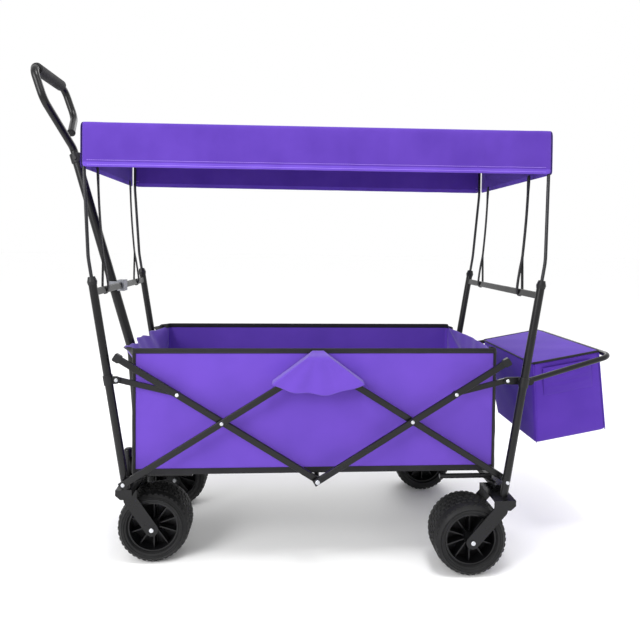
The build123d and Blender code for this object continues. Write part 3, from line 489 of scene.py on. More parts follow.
# %% Bow and pleat the ends, then let them hang
FRONT_BOW, FRONT_PLEATS, FRONT_SAG = 0.036, 0.009, 0.006
REAR_BOW, REAR_PLEATS = 0.020, 0.0025
SIDE_RIPPLE = 0.8 * MM
rise = ((levels_up - base_z) / (rim_z - base_z))[:, None]
tub_grid = np.zeros((rows_up, len(plan), 3))
tub_grid[..., 0], tub_grid[..., 1] = plan[:, 0] + middle, plan[:, 1]
tub_grid[..., 2] = levels_up[:, None]
share = 1 - (plan[:, 1] / half_width) ** 2
bow = share * rise ** 2
pleats = np.sin(plan[:, 1] * 46 + 0.6) * 0.6 + np.sin(plan[:, 1] * 97 + 1.9) * 0.4
is_front, is_rear, is_side = tags == "front", tags == "rear", (tags == "left") | (tags == "right")
flare = np.clip(1.6 * share, 0, 1)
tub_grid[..., 0] -= is_front * (FRONT_BOW * flare * rise ** 3 + FRONT_PLEATS * pleats * flare * rise ** 4)
tub_grid[..., 0] += is_rear * (REAR_BOW * bow + REAR_PLEATS * pleats * share * rise ** 3)
tub_grid[..., 2] += is_front * FRONT_SAG * flare * rise ** 6 * pleats
ripple = np.sin(plan[:, 0] * 21) * np.sin(rise * 9) * SIDE_RIPPLE
tub_grid[..., 1] += is_side * np.sign(plan[:, 1]) * ripple * np.sin(rise * math.pi)
tub_band = sheet_mesh("tub_band", tub_grid, purple_cloth, closed=True)
held = np.broadcast_to(~(is_front | is_rear), tub_grid.shape[:2]).copy()
held[:2] = True
drape(tub_band, held.ravel(), slack=0.03, cap=12 * MM)
tub_grid = points_of(tub_band, tub_grid.shape[:2])

# %% [markdown]
# ## Black tape on the tub
# The tape is folded over the rim of each long side, down every corner and round the foot. It has to lie on the
# cloth as the cloth now hangs, so it is made from the draped band's own points: a slice of the grid is offset
# outwards by half the cloth's wall and the tape's own thickness, over the edge and down the inside.

# %% Outward directions on the draped band
def outward(grid):
    """Unit normals of a closed grid, pointing away from its inside."""
    along = np.roll(grid, -1, axis=1) - np.roll(grid, 1, axis=1)
    upwards = np.gradient(grid, axis=0)
    normal = np.cross(along, upwards)
    return normal / np.linalg.norm(normal, axis=2, keepdims=True)


CLOTH = 1.2 * MM
TAPE = 0.9 * MM
facing = outward(tub_grid)
lift = CLOTH / 2 + TAPE / 2 + 0.25 * MM


def side_columns(tag, beyond):
    """Column numbers of one side with a few of its corner columns at each end."""
    found = np.flatnonzero(tags == tag)
    return [c % len(tags) for c in range(found[0] - beyond, found[-1] + beyond + 1)]


def level_points(columns, height, out):
    """Points at one height up the band, this far out from its middle surface."""
    made = []
    for c in columns:
        z = tub_grid[:, c, 2]
        k = int(np.clip(np.searchsorted(z, height) - 1, 0, len(z) - 2))
        t = (height - z[k]) / (z[k + 1] - z[k])
        made.append(tub_grid[k, c] * (1 - t) + tub_grid[k + 1, c] * t + facing[k, c] * out)
    return made


def tape_over_rim(tag):
    """Tape folded over the top edge of a side."""
    columns = side_columns(tag, 5)
    edge, drop = rim_z - 2 * MM, 11 * MM
    lips = [(edge - drop, lift), (edge - drop * 0.5, lift), (edge, lift), (edge + 1.6 * MM, lift * 0.5),
            (edge + 1.6 * MM, -lift * 0.5), (edge, -lift), (edge - drop * 0.5, -lift), (edge - drop, -lift)]
    return sheet_mesh(f"rim_tape_{tag}", [level_points(columns, z, out) for z, out in lips], edge_tape)


tapes = [tape_over_rim(tag) for tag in ("left", "right")]
foot_rows = [level_points(range(len(tags)), base_z + z, lift) for z in (16 * MM, 11 * MM, 6 * MM, 1 * MM)]
tapes.append(sheet_mesh("foot_tape", foot_rows[::-1], edge_tape, closed=True))

for number, corner in enumerate(np.flatnonzero((tags == "corner") & (np.roll(tags, 1) != "corner"))):
    columns = [(corner + offset) % len(tags) for offset in (-1, 0, 1, 2, 3)]
    heights = np.linspace(base_z + 3 * MM, rim_z - 4 * MM, 30)
    corner_rows = [level_points(columns, z, lift + 0.3 * MM) for z in heights]
    tapes.append(sheet_mesh(f"corner_tape_{number}", corner_rows, edge_tape))
for tape in tapes:
    thicken(tape, TAPE)
thicken(tub_band, CLOTH)
print("tapes:", len(tapes))

# %% [markdown]
# ## The tub's floor
# A black lining closes the tub underneath, and four stiff boards lie in it. On top lies a thin padded mat in
# four sections, one over each board, sewn flat between them so that it can fold. Each section is crowned by a
# rounded profile that falls to nothing at its seams.

# %% Lining, boards and mat
def flat_rows(x0, x1, y0, y1, nx, ny, height):
    """A level grid whose height is a number, or a function of the two shares across it."""
    rise_at = height if callable(height) else lambda s, t: height
    return grid(nx, ny, lambda s, t: (x0 + (x1 - x0) * s, y0 + (y1 - y0) * t, rise_at(s, t)))


inset = 3.5 * MM
lining = thicken(sheet_mesh("tub_lining", flat_rows(
    middle - half_length + inset, middle + half_length - inset, -half_width + inset, half_width - inset,
    40, 20, base_z + 1.4 * MM), black_cloth), 1.2 * MM)

mat_low, mat_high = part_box("floor_mat")
SECTIONS = 4
BOARD_GAP = 4 * MM


def crown(s, t):
    """How full the mat is: 0 at its seams and edges, 1 in the middle of a section."""
    within = abs(math.sin(math.pi * SECTIONS * s)) ** 0.35
    return within * (math.sin(math.pi * t) ** 0.25 if 0 < t < 1 else 0.0)


board_low, board_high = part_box("floor_boards")
board_pitch = (board_high.x - board_low.x + BOARD_GAP) / SECTIONS
boards = []
for k in range(SECTIONS):
    x0 = board_low.x + board_pitch * k
    rows = flat_rows(x0, x0 + board_pitch - BOARD_GAP, board_low.y, board_high.y, 9, 17, board_high.z)
    board = sheet_mesh(f"floor_board_{k}", rows, board_plastic)
    boards.append(thicken(board, board_high.z - board_low.z, levels=0, offset=-1.0))

mat_floor, mat_full = mat_low.z + 0.5 * MM, mat_high.z - 0.5 * MM
mat_top = flat_rows(mat_low.x + 1 * MM, mat_high.x - 1 * MM, mat_low.y + 1 * MM, mat_high.y - 1 * MM, 129, 49,
                    lambda s, t: mat_floor + 2 * MM + (mat_full - mat_floor - 2 * MM) * crown(s, t))
mat = sheet_mesh("floor_mat_padded", mat_top, purple_cloth)
under_mat = mat.modifiers.new("wall", "SOLIDIFY")
under_mat.thickness, under_mat.offset = 1.5 * MM, -1

# %% [markdown]
# ## The hoods over the top pivots
# On each side a tent of cloth is sewn under the rim and hangs over the pivot where two bars meet. It fans out
# from a short gathered seam, so it is laid out in rays from that seam: each ray starts on the panel, climbs
# quickly over the rivet and falls to the hem. Soft pleats run down the rays. Near its two lower corners the edge
# has to climb over the bars, which leave the hood there.

# %% Pivot hoods
_, pocket_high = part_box("tub_pockets")
HOOD_TOP, HOOD_SPREAD, HOOD_SIDE_DROP, HOOD_DROP = 0.013, 0.110, 0.076, 0.099
HOOD_CLIMB, HOOD_WAVE, HOOD_PLEAT = 0.012, 0.003, 0.002
SEWN = 2.2 * MM
hood_proud = pocket_high.y - half_width - 3.4 * MM


def hood(name, hand):
    def point(across, r):
        a = 2 * across - 1
        drop = HOOD_SIDE_DROP + (HOOD_DROP - HOOD_SIDE_DROP + HOOD_WAVE * math.sin(8 * a)) * (1 - a * a)
        full = SEWN + (hood_proud - SEWN) * float(smooth(r * drop / HOOD_CLIMB))
        pleat = HOOD_PLEAT * math.sin(10 * a + 0.8) * r * (1 - a ** 4)
        return (middle + (HOOD_TOP + (HOOD_SPREAD - HOOD_TOP) * r) * a, hand * (half_width + full + pleat),
                rim_z - 5 * MM - drop * r)

    rows = []
    for i, row in enumerate(grid(41, 24, point)):
        r = i / 23
        ends = ((row[0], -1), (row[-1], 1))
        turned = [(x + side * 1.5 * MM * r, hand * (half_width + SEWN), z + 2.5 * MM * r)
                  for (x, _, z), side in ends]
        over = [(x + side * 1 * MM * r, y, z + 1.8 * MM * r) for (x, y, z), side in ends]
        rows.append((turned[:1] + over[:1] + row + over[1:] + turned[1:])[::-hand])
    return thicken(sheet_mesh(name, rows, purple_cloth), 1.1 * MM)


hoods = [hood("pivot_hood_left", -1), hood("pivot_hood_right", 1)]
print("hoods stand", round(hood_proud * 1000, 1), "mm proud of the tub")

# %% [markdown]
# ## The pocket on the front
# A slack patch pocket hangs on the front panel. It is sewn at its sides and foot, and its belly is fullest low
# down where things would lie.

# %% Front pocket
POCKET = (-0.168, 0.168, 0.300, 0.402)
POCKET_SEWN, POCKET_BELLY, POCKET_FOLD = 1.5 * MM, 7.5 * MM, 0.6 * MM


def pocket_point(s, t):
    y0, y1, z0, z1 = POCKET
    belly = math.sin(math.pi * min(1.0, t * 0.82 + 0.06)) ** 0.6
    side = math.sin(math.pi * s) ** 0.3
    fold = POCKET_FOLD * math.sin(31 * s + 3 * t)
    return (middle - half_length - POCKET_SEWN - POCKET_BELLY * belly * side + fold * side,
            y1 + (y0 - y1) * s, z0 + (z1 - z0) * t)


front_patch = thicken(sheet_mesh("front_pocket_patch", grid(45, 15, pocket_point), purple_cloth), 1.0 * MM)

# %% [markdown]
# ## The canopy
# The cover is a flat sheet over two bent rods with a skirt sewn round it. A grid makes the top, and four more
# make the skirts. Their shared edges are merged, and then the whole cover is dropped with the rods' lines held:
# the top sags a little between them and the skirts hang with a slight wave.

# %% Canopy panels
cover_low, cover_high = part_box("canopy_cover")
rod_front, rod_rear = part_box("canopy_rod_front"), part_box("canopy_rod_rear")
COVER_STEP = 0.0165
HEM = 16 * MM
BEVEL = 9 * MM
EASE = 6 * MM
HELD_END = 42 * MM


def cover_half_width(x):
    """The cover is as wide as the end frames, so it is narrower at the handle's end."""
    t = (x - cover_low.x) / (cover_high.x - cover_low.x)
    return FRONT_HALF + (cover_high.y - FRONT_HALF) * t


FRONT_HALF = cover_high.y - (rod_rear[1].y - rod_front[1].y) * 0.67
cover_nx = round((cover_high.x - cover_low.x) / COVER_STEP)
cover_ny = round(2 * cover_high.y / COVER_STEP)


def cover_point(s, t):
    x = cover_low.x + 1 * MM + (cover_high.x - cover_low.x - 2 * MM) * s
    y = -cover_half_width(x) + 1 * MM + 2 * (cover_half_width(x) - 1 * MM) * t
    return x, y, cover_high.z - 1 * MM


top_rows = np.array(grid(cover_nx + 1, cover_ny + 1, cover_point))


def skirt_rows(edge, out):
    """Rows from a line of top-edge points down to the hem, easing outwards by the bevel first."""
    below = np.linspace(BEVEL + 12 * MM, cover_high.z - cover_low.z - 2 * MM, 8)
    steps = [(0.0, 0.0), (0.35 * BEVEL, 0.75), (BEVEL, 1.0)] + [(drop, 1.0) for drop in below]
    return [np.array(edge, float) + np.array(out) * (away * EASE) - (0, 0, drop) for drop, away in steps]


inner_top = top_rows.copy()
cover_mid = (cover_low.x + cover_high.x) / 2
inner_top[..., 0] = cover_mid + (top_rows[..., 0] - cover_mid) * (1 - 2 * EASE / (cover_high.x - cover_low.x))
inner_top[..., 1] = top_rows[..., 1] * (1 - EASE / cover_high.y)
panels = [sheet_mesh("cover_top", inner_top, canopy_cloth)]
for tag, edge, out, turn_over in (
        ("left", inner_top[0], (0, -1, 0), 1), ("right", inner_top[-1], (0, 1, 0), -1),
        ("front", inner_top[:, 0], (-1, 0, 0), -1), ("rear", inner_top[:, -1], (1, 0, 0), 1)):
    rows = [row[::turn_over] for row in skirt_rows(edge, out)[::-1]]
    panels.append(sheet_mesh(f"cover_{tag}", rows, canopy_cloth))


# %% Sew the panels together
def weld(sources, mesh, within):
    """Fills a mesh with others and welds the points that they share."""
    work = bmesh.new()
    for source in sources:
        work.from_mesh(source)
    bmesh.ops.remove_doubles(work, verts=work.verts, dist=within)
    bmesh.ops.recalc_face_normals(work, faces=work.faces)
    work.to_mesh(mesh)
    work.free()


def join(pieces, name):
    """Joins pieces into one."""
    mesh = bpy.data.meshes.new(name)
    weld([piece.data for piece in pieces], mesh, 1 * MM)
    for material in pieces[0].data.materials:
        mesh.materials.append(material)
    for piece in pieces:
        bpy.data.objects.remove(piece)
    shade(mesh)
    return put(name, mesh)


cover = join(panels, "canopy_sheet")
cover_points = points_of(cover)
near_end = np.minimum(cover_points[:, 0] - cover_low.x, cover_high.x - cover_points[:, 0])
edge_y = np.array([cover_half_width(x) for x in cover_points[:, 0]]) - np.abs(cover_points[:, 1])
rolled = (cover_points[:, 2] > cover_high.z - BEVEL - 2 * MM) & ((edge_y < 11 * MM) | (near_end < HELD_END))
seam_at_rod = (cover_points[:, 2] > cover_high.z - 3 * MM) & (near_end < HELD_END)
corner_seam = (near_end < EASE) & (edge_y < EASE)
drape(cover, rolled | seam_at_rod | corner_seam, slack=0.006, cap=9 * MM, frames=16)
cover.data.materials.append(hem_cloth)
for face in cover.data.polygons:
    if max(cover.data.vertices[v].co.z for v in face.vertices) < cover_low.z + HEM + 6 * MM:
        face.material_index = 1
thicken(cover, 1.1 * MM)
print("canopy:", len(cover.data.vertices), "points before thickness")

# %% [markdown]
# ## The bag
# The bag hangs in a bent tube behind the wagon: a tapered body of soft cloth, and a lid whose edge is piped in
# black. Its body is a band of rings from the foot up to the mouth, closed by a floor. The four walls belly a
# little, most at half height, and its two lower corners are pulled in.

# %% Read the bag's shape from its solid
BAG_TILT = math.radians(10.5)
lid_low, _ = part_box("bag_lid")
turn = np.array([[math.cos(BAG_TILT), 0, math.sin(BAG_TILT)], [0, 1, 0],
                 [-math.sin(BAG_TILT), 0, math.cos(BAG_TILT)]])
hinge = np.array([lid_low.x, 0, lid_low.z])


def in_bag(node_name):
    """A node's points, given along and square to the bag's sloping mouth."""
    return (np.array([v.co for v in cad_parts[node_name].data.vertices], float) - hinge) @ turn.T


flat_bag = in_bag("bag_body")
mouth = flat_bag[flat_bag[:, 2] > flat_bag[:, 2].max() - 2 * MM]
foot = flat_bag[flat_bag[:, 2] < flat_bag[:, 2].min() + 2 * MM]
print("bag mouth", np.ptp(mouth, axis=0).round(3), "foot", np.ptp(foot, axis=0).round(3))


def from_bag(points):
    """Puts points given along and square to the sloping mouth back into the wagon's frame."""
    return np.asarray(points) @ turn + hinge


# %% Bag body
BAG_INSET, BAG_SWELL = 1.5 * MM, 4 * MM


def bag_level(share):
    """The bag's two ends in x, its half width and its height at a share of the way from foot to mouth."""
    ends = [(part[:, 0].min(), part[:, 0].max(), part[:, 1].max(), part[:, 2].mean()) for part in (foot, mouth)]
    return (low + (high - low) * share for low, high in zip(*ends))


def bag_ring(share):
    """A rounded rectangle round the bag at a share of its height, in the mouth's own frame."""
    x0, x1, half_y, z = bag_level(share)
    half_x = (x1 - x0) / 2 - BAG_INSET
    half_y -= BAG_INSET
    ring, sides = outline(half_x, half_y, 9 * MM, 18, 30)
    belly = math.sin(math.pi * share) * BAG_SWELL
    flat_x = np.clip(1 - (ring[:, 0] / half_x) ** 2, 0, 1)
    flat_y = np.clip(1 - (ring[:, 1] / half_y) ** 2, 0, 1)
    wave = 1 + 0.35 * np.sin(ring[:, 0] * 55 + share * 9) + 0.3 * np.sin(ring[:, 1] * 33 - share * 11)
    endways = (sides == "rear") * 1.0 - (sides == "front")
    sideways = (sides == "right") * 1.0 - (sides == "left")
    return np.column_stack([ring[:, 0] + (x0 + x1) / 2 + endways * flat_y * belly * wave,
                            ring[:, 1] + sideways * flat_x * belly * wave, np.full(len(ring), z)])


floor_ring = bag_ring(0.0)
centre = floor_ring.mean(axis=0)
bag_rows = [centre + (floor_ring - centre) * shrink + (0, 0, 1.2 * MM) for shrink in (0.05, 0.35, 0.7, 0.94)]
bag_rows += [bag_ring(0.02 + 0.98 * k / 21) for k in range(22)]
bag_cloth_body = sheet_mesh("bag_walls", [from_bag(r) for r in bag_rows], bag_cloth, closed=True)
thicken(bag_cloth_body, 1.6 * MM, offset=-1.0)


# %% [markdown]
# ## The bag's lid, piping and pocket
# The lid is a padded flap, a little crowned, with black piping round its edge. The piping is a round cord in a
# sleeve, so it is a thin tube along the edge, and it is stoutest on the two sides. A gathered pocket
# hangs on each side of the bag below the frame's tube, with creases where its mouth is drawn in.

# %% Tube along a path
def tube_mesh(name, path, radius, material, sides=8):
    """A round cord along a path of points."""
    path = np.asarray(path, float)
    ahead = np.roll(path, -1, axis=0) - np.roll(path, 1, axis=0)
    ahead[0], ahead[-1] = path[1] - path[0], path[-1] - path[-2]
    ahead /= np.linalg.norm(ahead, axis=1, keepdims=True)
    pole = np.array([0.31, 0.17, 0.93])
    side = np.cross(ahead, pole)
    side /= np.linalg.norm(side, axis=1, keepdims=True)
    over = np.cross(side, ahead)
    radius = np.broadcast_to(radius, len(path))
    turns = [2 * math.pi * k / sides for k in range(sides)]
    rows = np.array([[path[i] + radius[i] * (math.cos(a) * side[i] + math.sin(a) * over[i]) for a in turns]
                     for i in range(len(path))])
    rows = np.concatenate([path[None, :1].repeat(sides, 1), rows, path[None, -1:].repeat(sides, 1)])
    made = sheet_mesh(name, rows, material, closed=True)
    weld([made.data], made.data, 1e-6)
    return made


# %% Lid and piping
flat_lid = in_bag("bag_lid")
lid_x0, lid_x1, lid_y = flat_lid[:, 0].min() + 2 * MM, flat_lid[:, 0].max(), flat_lid[:, 1].max()
lid_mid = flat_lid[:, 2].mean()
LID_CROWN, LID_DENT = 2.5 * MM, 0.6 * MM


def lid_point(s, t):
    full = (math.sin(math.pi * s) * math.sin(math.pi * t)) ** 0.5 if 0 < s < 1 and 0 < t < 1 else 0
    dent = LID_DENT * math.sin(9 * s + 14 * t) * full
    return (lid_x0 + (lid_x1 - 1.5 * MM - lid_x0) * s, -lid_y + 1.5 * MM + (2 * lid_y - 3 * MM) * t,
            lid_mid + LID_CROWN * full + dent)


lid = thicken(sheet_mesh("bag_lid_flap", from_bag(grid(17, 31, lid_point)), bag_cloth), 2.6 * MM)

edge = [(lid_x0, -lid_y + 2 * MM, lid_mid)] + [
    (lid_x0 + (lid_x1 - lid_x0 - 8 * MM) * k / 10, -lid_y + 1.5 * MM, lid_mid) for k in range(1, 11)] + [
    (lid_x1 - 2.5 * MM, -lid_y + 4 * MM, lid_mid)] + [
    (lid_x1 - 1.5 * MM, -lid_y + 10 * MM + (2 * lid_y - 20 * MM) * k / 12, lid_mid) for k in range(13)] + [
    (lid_x1 - 2.5 * MM, lid_y - 4 * MM, lid_mid)] + [
    (lid_x1 - 8 * MM - (lid_x1 - lid_x0 - 8 * MM) * k / 10, lid_y - 1.5 * MM, lid_mid) for k in range(11)]
stout = [3.0 * MM if abs(point[1]) > lid_y - 3 * MM else 2.2 * MM for point in edge]
lid_piping = tube_mesh("bag_lid_piping", from_bag(edge), stout, edge_tape)
along_hinge = [(lid_x0 - 1 * MM, y, lid_mid - 0.5 * MM)
               for y in np.linspace(-lid_y + 3 * MM, lid_y - 3 * MM, 14)]
hinge_band = tube_mesh("bag_hinge_piping", from_bag(along_hinge), 1.6 * MM, edge_tape)


# %% Side pockets and corner seams of the bag
def bag_side(s, share, hand, out):
    """A point on a side wall of the bag: s runs from its front to its back."""
    x0, x1, half_y, z = bag_level(share)
    return x0 + (x1 - x0) * s, hand * (half_y + out), z


def bag_pocket(name, hand):
    def point(s, t):
        side = math.sin(math.pi * s) ** 0.35 if 0 < s < 1 else 0
        foot_up = min(1.0, t * 5) ** 0.5
        creases = 0.9 * MM * math.sin(24 * t + 1.2 * math.sin(3 * s)) * float(smooth(t / 0.3)) * side
        return bag_side(0.14 + 0.70 * s, 0.60 + 0.34 * t, hand, 1.8 * MM + 3.2 * MM * side * foot_up + creases)

    rows = [from_bag(row[::-hand]) for row in grid(21, 25, point)]
    return thicken(sheet_mesh(name, rows, bag_cloth), 1.1 * MM)


bag_pockets = [bag_pocket("bag_pocket_left", -1), bag_pocket("bag_pocket_right", 1)]
bag_seams = []
for number, (s, hand) in enumerate(((0.02, -1), (0.98, -1), (0.02, 1), (0.98, 1))):
    line = from_bag([bag_side(s, share, hand, -2.2 * MM) for share in np.linspace(0.02, 0.99, 16)])
    bag_seams.append(tube_mesh(f"bag_corner_piping_{number}", line, 1.5 * MM, bag_cloth))
print("bag: walls, lid,", len(bag_pockets), "pockets and", len(bag_seams), "corner seams")

# %% [markdown]
# ## Straps
# Each end of the canopy is held down by two elastic straps. A strap is one ribbon that comes down from inside
# the skirt, splits above the crossbar and passes round it. Both parts follow paths of points, and the ribbon is
# wider at the top, where it is doubled and sewn in.

# %% Straps from paths
STRAP_SPLIT = 0.762
HALF_STRAP, STRAP_WALL, OFF_THE_BAR, BOW_OUT = 7 * MM, 3 * MM, 1.6 * MM, 2.2 * MM


def ribbon(name, path, half_widths, middle_y):
    rows = [[(x, middle_y + w * k, z) for k in (-1, -0.5, 0, 0.5, 1)] for (x, z), w in zip(path, half_widths)]
    return thicken(sheet_mesh(name, rows, elastic), STRAP_WALL)


straps = {}
for end, sign in (("front", -1), ("rear", 1)):
    low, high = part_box(f"{end}_canopy_straps")
    bar_low, bar_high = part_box(f"{end}_crossbar")
    top_x = low.x + 1 * MM if sign < 0 else high.x - 1 * MM
    bar_x, bar_z = (bar_low.x + bar_high.x) / 2, (bar_low.z + bar_high.z) / 2
    half_x, half_z = (bar_high.x - bar_low.x) / 2 + OFF_THE_BAR, (bar_high.z - bar_low.z) / 2 + OFF_THE_BAR
    split_x = bar_x + (top_x - bar_x) * (STRAP_SPLIT - bar_z) / (cover_low.z - bar_z)
    for hand in (-1, 1):
        at_y = hand * (high.y - HALF_STRAP)
        down = [(top_x + (split_x - top_x) * t, high.z + (STRAP_SPLIT - high.z) * t)
                for t in np.linspace(0, 1, 16)]
        down = [(x + sign * BOW_OUT * math.sin(math.pi * k / 15), z) for k, (x, z) in enumerate(down)]
        widths = [HALF_STRAP + 2 * MM * float(smooth((z - cover_low.z + 0.03) / 0.01)) for x, z in down]
        sewn_x = split_x + (top_x - split_x) * 0.06
        legs = {way: [(split_x + (bar_x + way * half_x - split_x) * t ** 0.8,
                       STRAP_SPLIT + (bar_z + half_z - STRAP_SPLIT) * t) for t in shares]
                for way, shares in ((-1, [k / 5 for k in range(5)]), (1, [1 - k / 5 for k in range(5)]))}
        under = [(bar_x + half_x * math.cos(a), bar_z + half_z * 0.45 + half_z * 1.45 * math.sin(a))
                 for a in (math.pi + math.pi * k / 8 for k in range(9))]
        sewn = (sewn_x, STRAP_SPLIT + (high.z - STRAP_SPLIT) * 0.06)
        round_bar = [sewn] + legs[-1] + under + legs[1] + [(split_x, STRAP_SPLIT), sewn]
        side = "left" if hand < 0 else "right"
        straps.setdefault(end, []).extend([
            ribbon(f"{end}_strap_{side}", down, widths, at_y),
            ribbon(f"{end}_strap_loop_{side}", round_bar, [HALF_STRAP] * len(round_bar), at_y)])
print("straps:", sum(len(v) for v in straps.values()), "ribbons")

# %% [markdown]
# ## Tyres with moulded tread
# A wheel's carcass is one profile turned about its axle. The tread is rows of raised blocks, so the blocks are
# repeated by Geometry Nodes: a circle of points, an instance of one block on each, a copy of the row moved along
# the axle and turned by half a pitch, and the lot made real. One tyre is made at the world's middle, and the four
# wheels get copies of its mesh.

# %% The block and the carcass
tyre_low, tyre_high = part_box("rear_tyre_left")
tyre_radius, tyre_half = (tyre_high.z - tyre_low.z) / 2, (tyre_high.y - tyre_low.y) / 2
TREAD = 1.5 * MM
TYRE_DEPTH = 27 * MM
seat = tyre_radius - TYRE_DEPTH


def carcass():
    r, h = tyre_radius - TREAD, tyre_half
    bead_and_wall = ((0, 9), (3, 3.5), (7, 2), (8, 0.2), (11, 0), (12, 1.6), (13.5, 1.4))
    shoulder = ((11, 0.6), (9.5, 2.6), (5, 5.5), (2, 11), (0, 20), (0, 34))
    profile = [(seat + a * MM, h - b * MM) for a, b in bead_and_wall]
    profile += [(r - a * MM, h - b * MM) for a, b in shoulder]
    profile += [(a, -b) for a, b in reversed(profile)]
    rows = [[(a * math.cos(2 * math.pi * k / 96), a * math.sin(2 * math.pi * k / 96), b) for k in range(96)]
            for a, b in profile]
    return sheet_mesh("carcass", rows, tyre_foam, closed=True)


def tread_block(length, width, height):
    """One raised block: a tapered box with its top edges eased, X outwards."""
    work = bmesh.new()
    bmesh.ops.create_cube(work, size=1.0)
    for vert in work.verts:
        taper = 0.82 if vert.co.x > 0 else 1.0
        vert.co = Vector((vert.co.x * height, vert.co.y * length * taper, vert.co.z * width * taper))
    rim_edges = [e for e in work.edges if all(v.co.x > 0 for v in e.verts)]
    bmesh.ops.bevel(work, geom=rim_edges, offset=0.6 * MM, segments=1, affect="EDGES")
    mesh = bpy.data.meshes.new("tread_block")
    work.to_mesh(mesh)
    work.free()
    return put("tread_block", mesh)


# %% Rows of blocks by Geometry Nodes
def new_tree(name, **inputs):
    """A modifier tree with a geometry output and these inputs: their sockets' names and starting values."""
    tree = bpy.data.node_groups.new(name, "GeometryNodeTree")
    sockets = {}
    for label, value in inputs.items():
        label = label.replace("_", " ")
        kind = {int: "NodeSocketInt", float: "NodeSocketFloat"}.get(type(value), "NodeSocketGeometry")
        made = tree.interface.new_socket(label, in_out="INPUT", socket_type=kind)
        if value is not None:
            made.default_value = value
        sockets[label] = made.identifier
    tree.interface.new_socket("Geometry", in_out="OUTPUT", socket_type="NodeSocketGeometry")
    return tree, sockets, add(tree, "NodeGroupInput").outputs


def finish_tree(tree, geometry, material):
    """Makes the instances real, paints them and sends them out."""
    real = add(tree, "GeometryNodeRealizeInstances", {"Geometry": geometry})
    painted = add(tree, "GeometryNodeSetMaterial", {"Geometry": real.outputs[0], "Material": material})
    add(tree, "NodeGroupOutput", {0: painted.outputs[0]})


def apply_tree(holder, tree, sockets, **values):
    """Runs a tree on an object and bakes what it makes."""
    modifier = holder.modifiers.new(tree.name, "NODES")
    modifier.node_group = tree
    for label, value in values.items():
        modifier[sockets[label.replace("_", " ")]] = value
    bpy.context.view_layer.update()
    return bake(holder)


def ring_of(block, material):
    """A tree that repeats a block round a ring: how many, at what radius, and where along the axle."""
    tree, sockets, given = new_tree("tread_ring", Blocks=40, Radius=0.088, Along_axle=0.0, Turn=0.0)
    circle = add(tree, "GeometryNodeMeshCircle", {"Vertices": given["Blocks"], "Radius": given["Radius"]})
    place = add(tree, "GeometryNodeInputPosition").outputs[0]
    facing_out = add(tree, "FunctionNodeAlignRotationToVector", {"Vector": place}, axis="X")
    copy = add(tree, "GeometryNodeObjectInfo", {"Object": block})
    repeated = add(tree, "GeometryNodeInstanceOnPoints", {
        "Points": circle.outputs[0], "Instance": copy.outputs["Geometry"], "Rotation": facing_out.outputs[0]})
    shift = add(tree, "ShaderNodeCombineXYZ", {"Z": given["Along axle"]})
    spin = add(tree, "ShaderNodeCombineXYZ", {"Z": given["Turn"]})
    placed = add(tree, "GeometryNodeTransform", {
        "Geometry": repeated.outputs[0], "Translation": shift.outputs[0], "Rotation": spin.outputs[0]})
    finish_tree(tree, placed.outputs[0], material)
    return tree, sockets


BLOCKS = 38
half_pitch = math.pi / BLOCKS
tread_deep = TREAD + 1.5 * MM
rings = [carcass()]
for length, width, height, radius, places in (
        (10.5 * MM, 11.5 * MM, tread_deep, tyre_radius - tread_deep / 2, ((-21, 0), (-7, 1), (7, 0), (21, 1))),
        (9.5 * MM, 12 * MM, 4.5 * MM, tyre_radius - 5.8 * MM, ((-36, 1), (36, 0)))):
    block = tread_block(length, width, height)
    tree, sockets = ring_of(block, tyre_foam)
    for place, turned in places:
        holder = put("ring", bpy.data.meshes.new("ring"))
        rings.append(apply_tree(holder, tree, sockets, Blocks=BLOCKS, Radius=radius, Along_axle=place * MM,
                                Turn=half_pitch * turned))
    bpy.data.objects.remove(block)
master = join(rings, "tyre_master")
shade(master.data, False)
master.data.set_sharp_from_angle(angle=math.radians(28))
shade(master.data)
upright_axle = Matrix.Rotation(math.radians(90), 4, "X")
tyres = {}
for end in ("front", "rear"):
    for side in ("left", "right"):
        low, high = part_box(f"{end}_tyre_{side}")
        mesh = master.data.copy()
        mesh.transform(Matrix.Translation((low + high) / 2) @ upright_axle)
        tyres[end, side] = put(f"{end}_tyre_tread_{side}", mesh)
bpy.data.objects.remove(master)
print("tyres:", len(tyres), "with", BLOCKS * 6, "blocks each")

# %% [markdown]
# ## Stitches
# Lockstitch shows as short dashes that lie along a seam. A path of edges becomes a curve, the curve becomes
# points at an even pitch, and each point gets one small dash turned to the seam's direction.

# %% Rows of stitches by Geometry Nodes
thread_look, _, _ = new_material("Polyester sewing thread, pale purple", "#A98BE8", 0.6)
dark_thread, _, _ = new_material("Polyester sewing thread, charcoal", "#3A3940", 0.6)


def stitch_tree(material):
    tree, sockets, given = new_tree("stitches", Geometry=None, Pitch=5 * MM)
    curve = add(tree, "GeometryNodeMeshToCurve", {"Mesh": given["Geometry"]})
    points = add(tree, "GeometryNodeCurveToPoints", {"Curve": curve.outputs[0], "Length": given["Pitch"]},
                 mode="LENGTH")
    dash = add(tree, "GeometryNodeMeshCube", {"Size": (0.8 * MM, 0.8 * MM, 3.2 * MM)})
    row = add(tree, "GeometryNodeInstanceOnPoints", {
        "Points": points.outputs["Points"], "Instance": dash.outputs[0], "Rotation": points.outputs["Rotation"]})
    finish_tree(tree, row.outputs[0], material)
    return tree, sockets


pale_row, dark_row = stitch_tree(thread_look), stitch_tree(dark_thread)


def stitches(name, path, kind):
    mesh = bpy.data.meshes.new(name)
    path = [tuple(float(c) for c in point) for point in path]
    mesh.from_pydata(path, [(i, i + 1) for i in range(len(path) - 1)], [])
    return apply_tree(put(name, mesh), *kind)


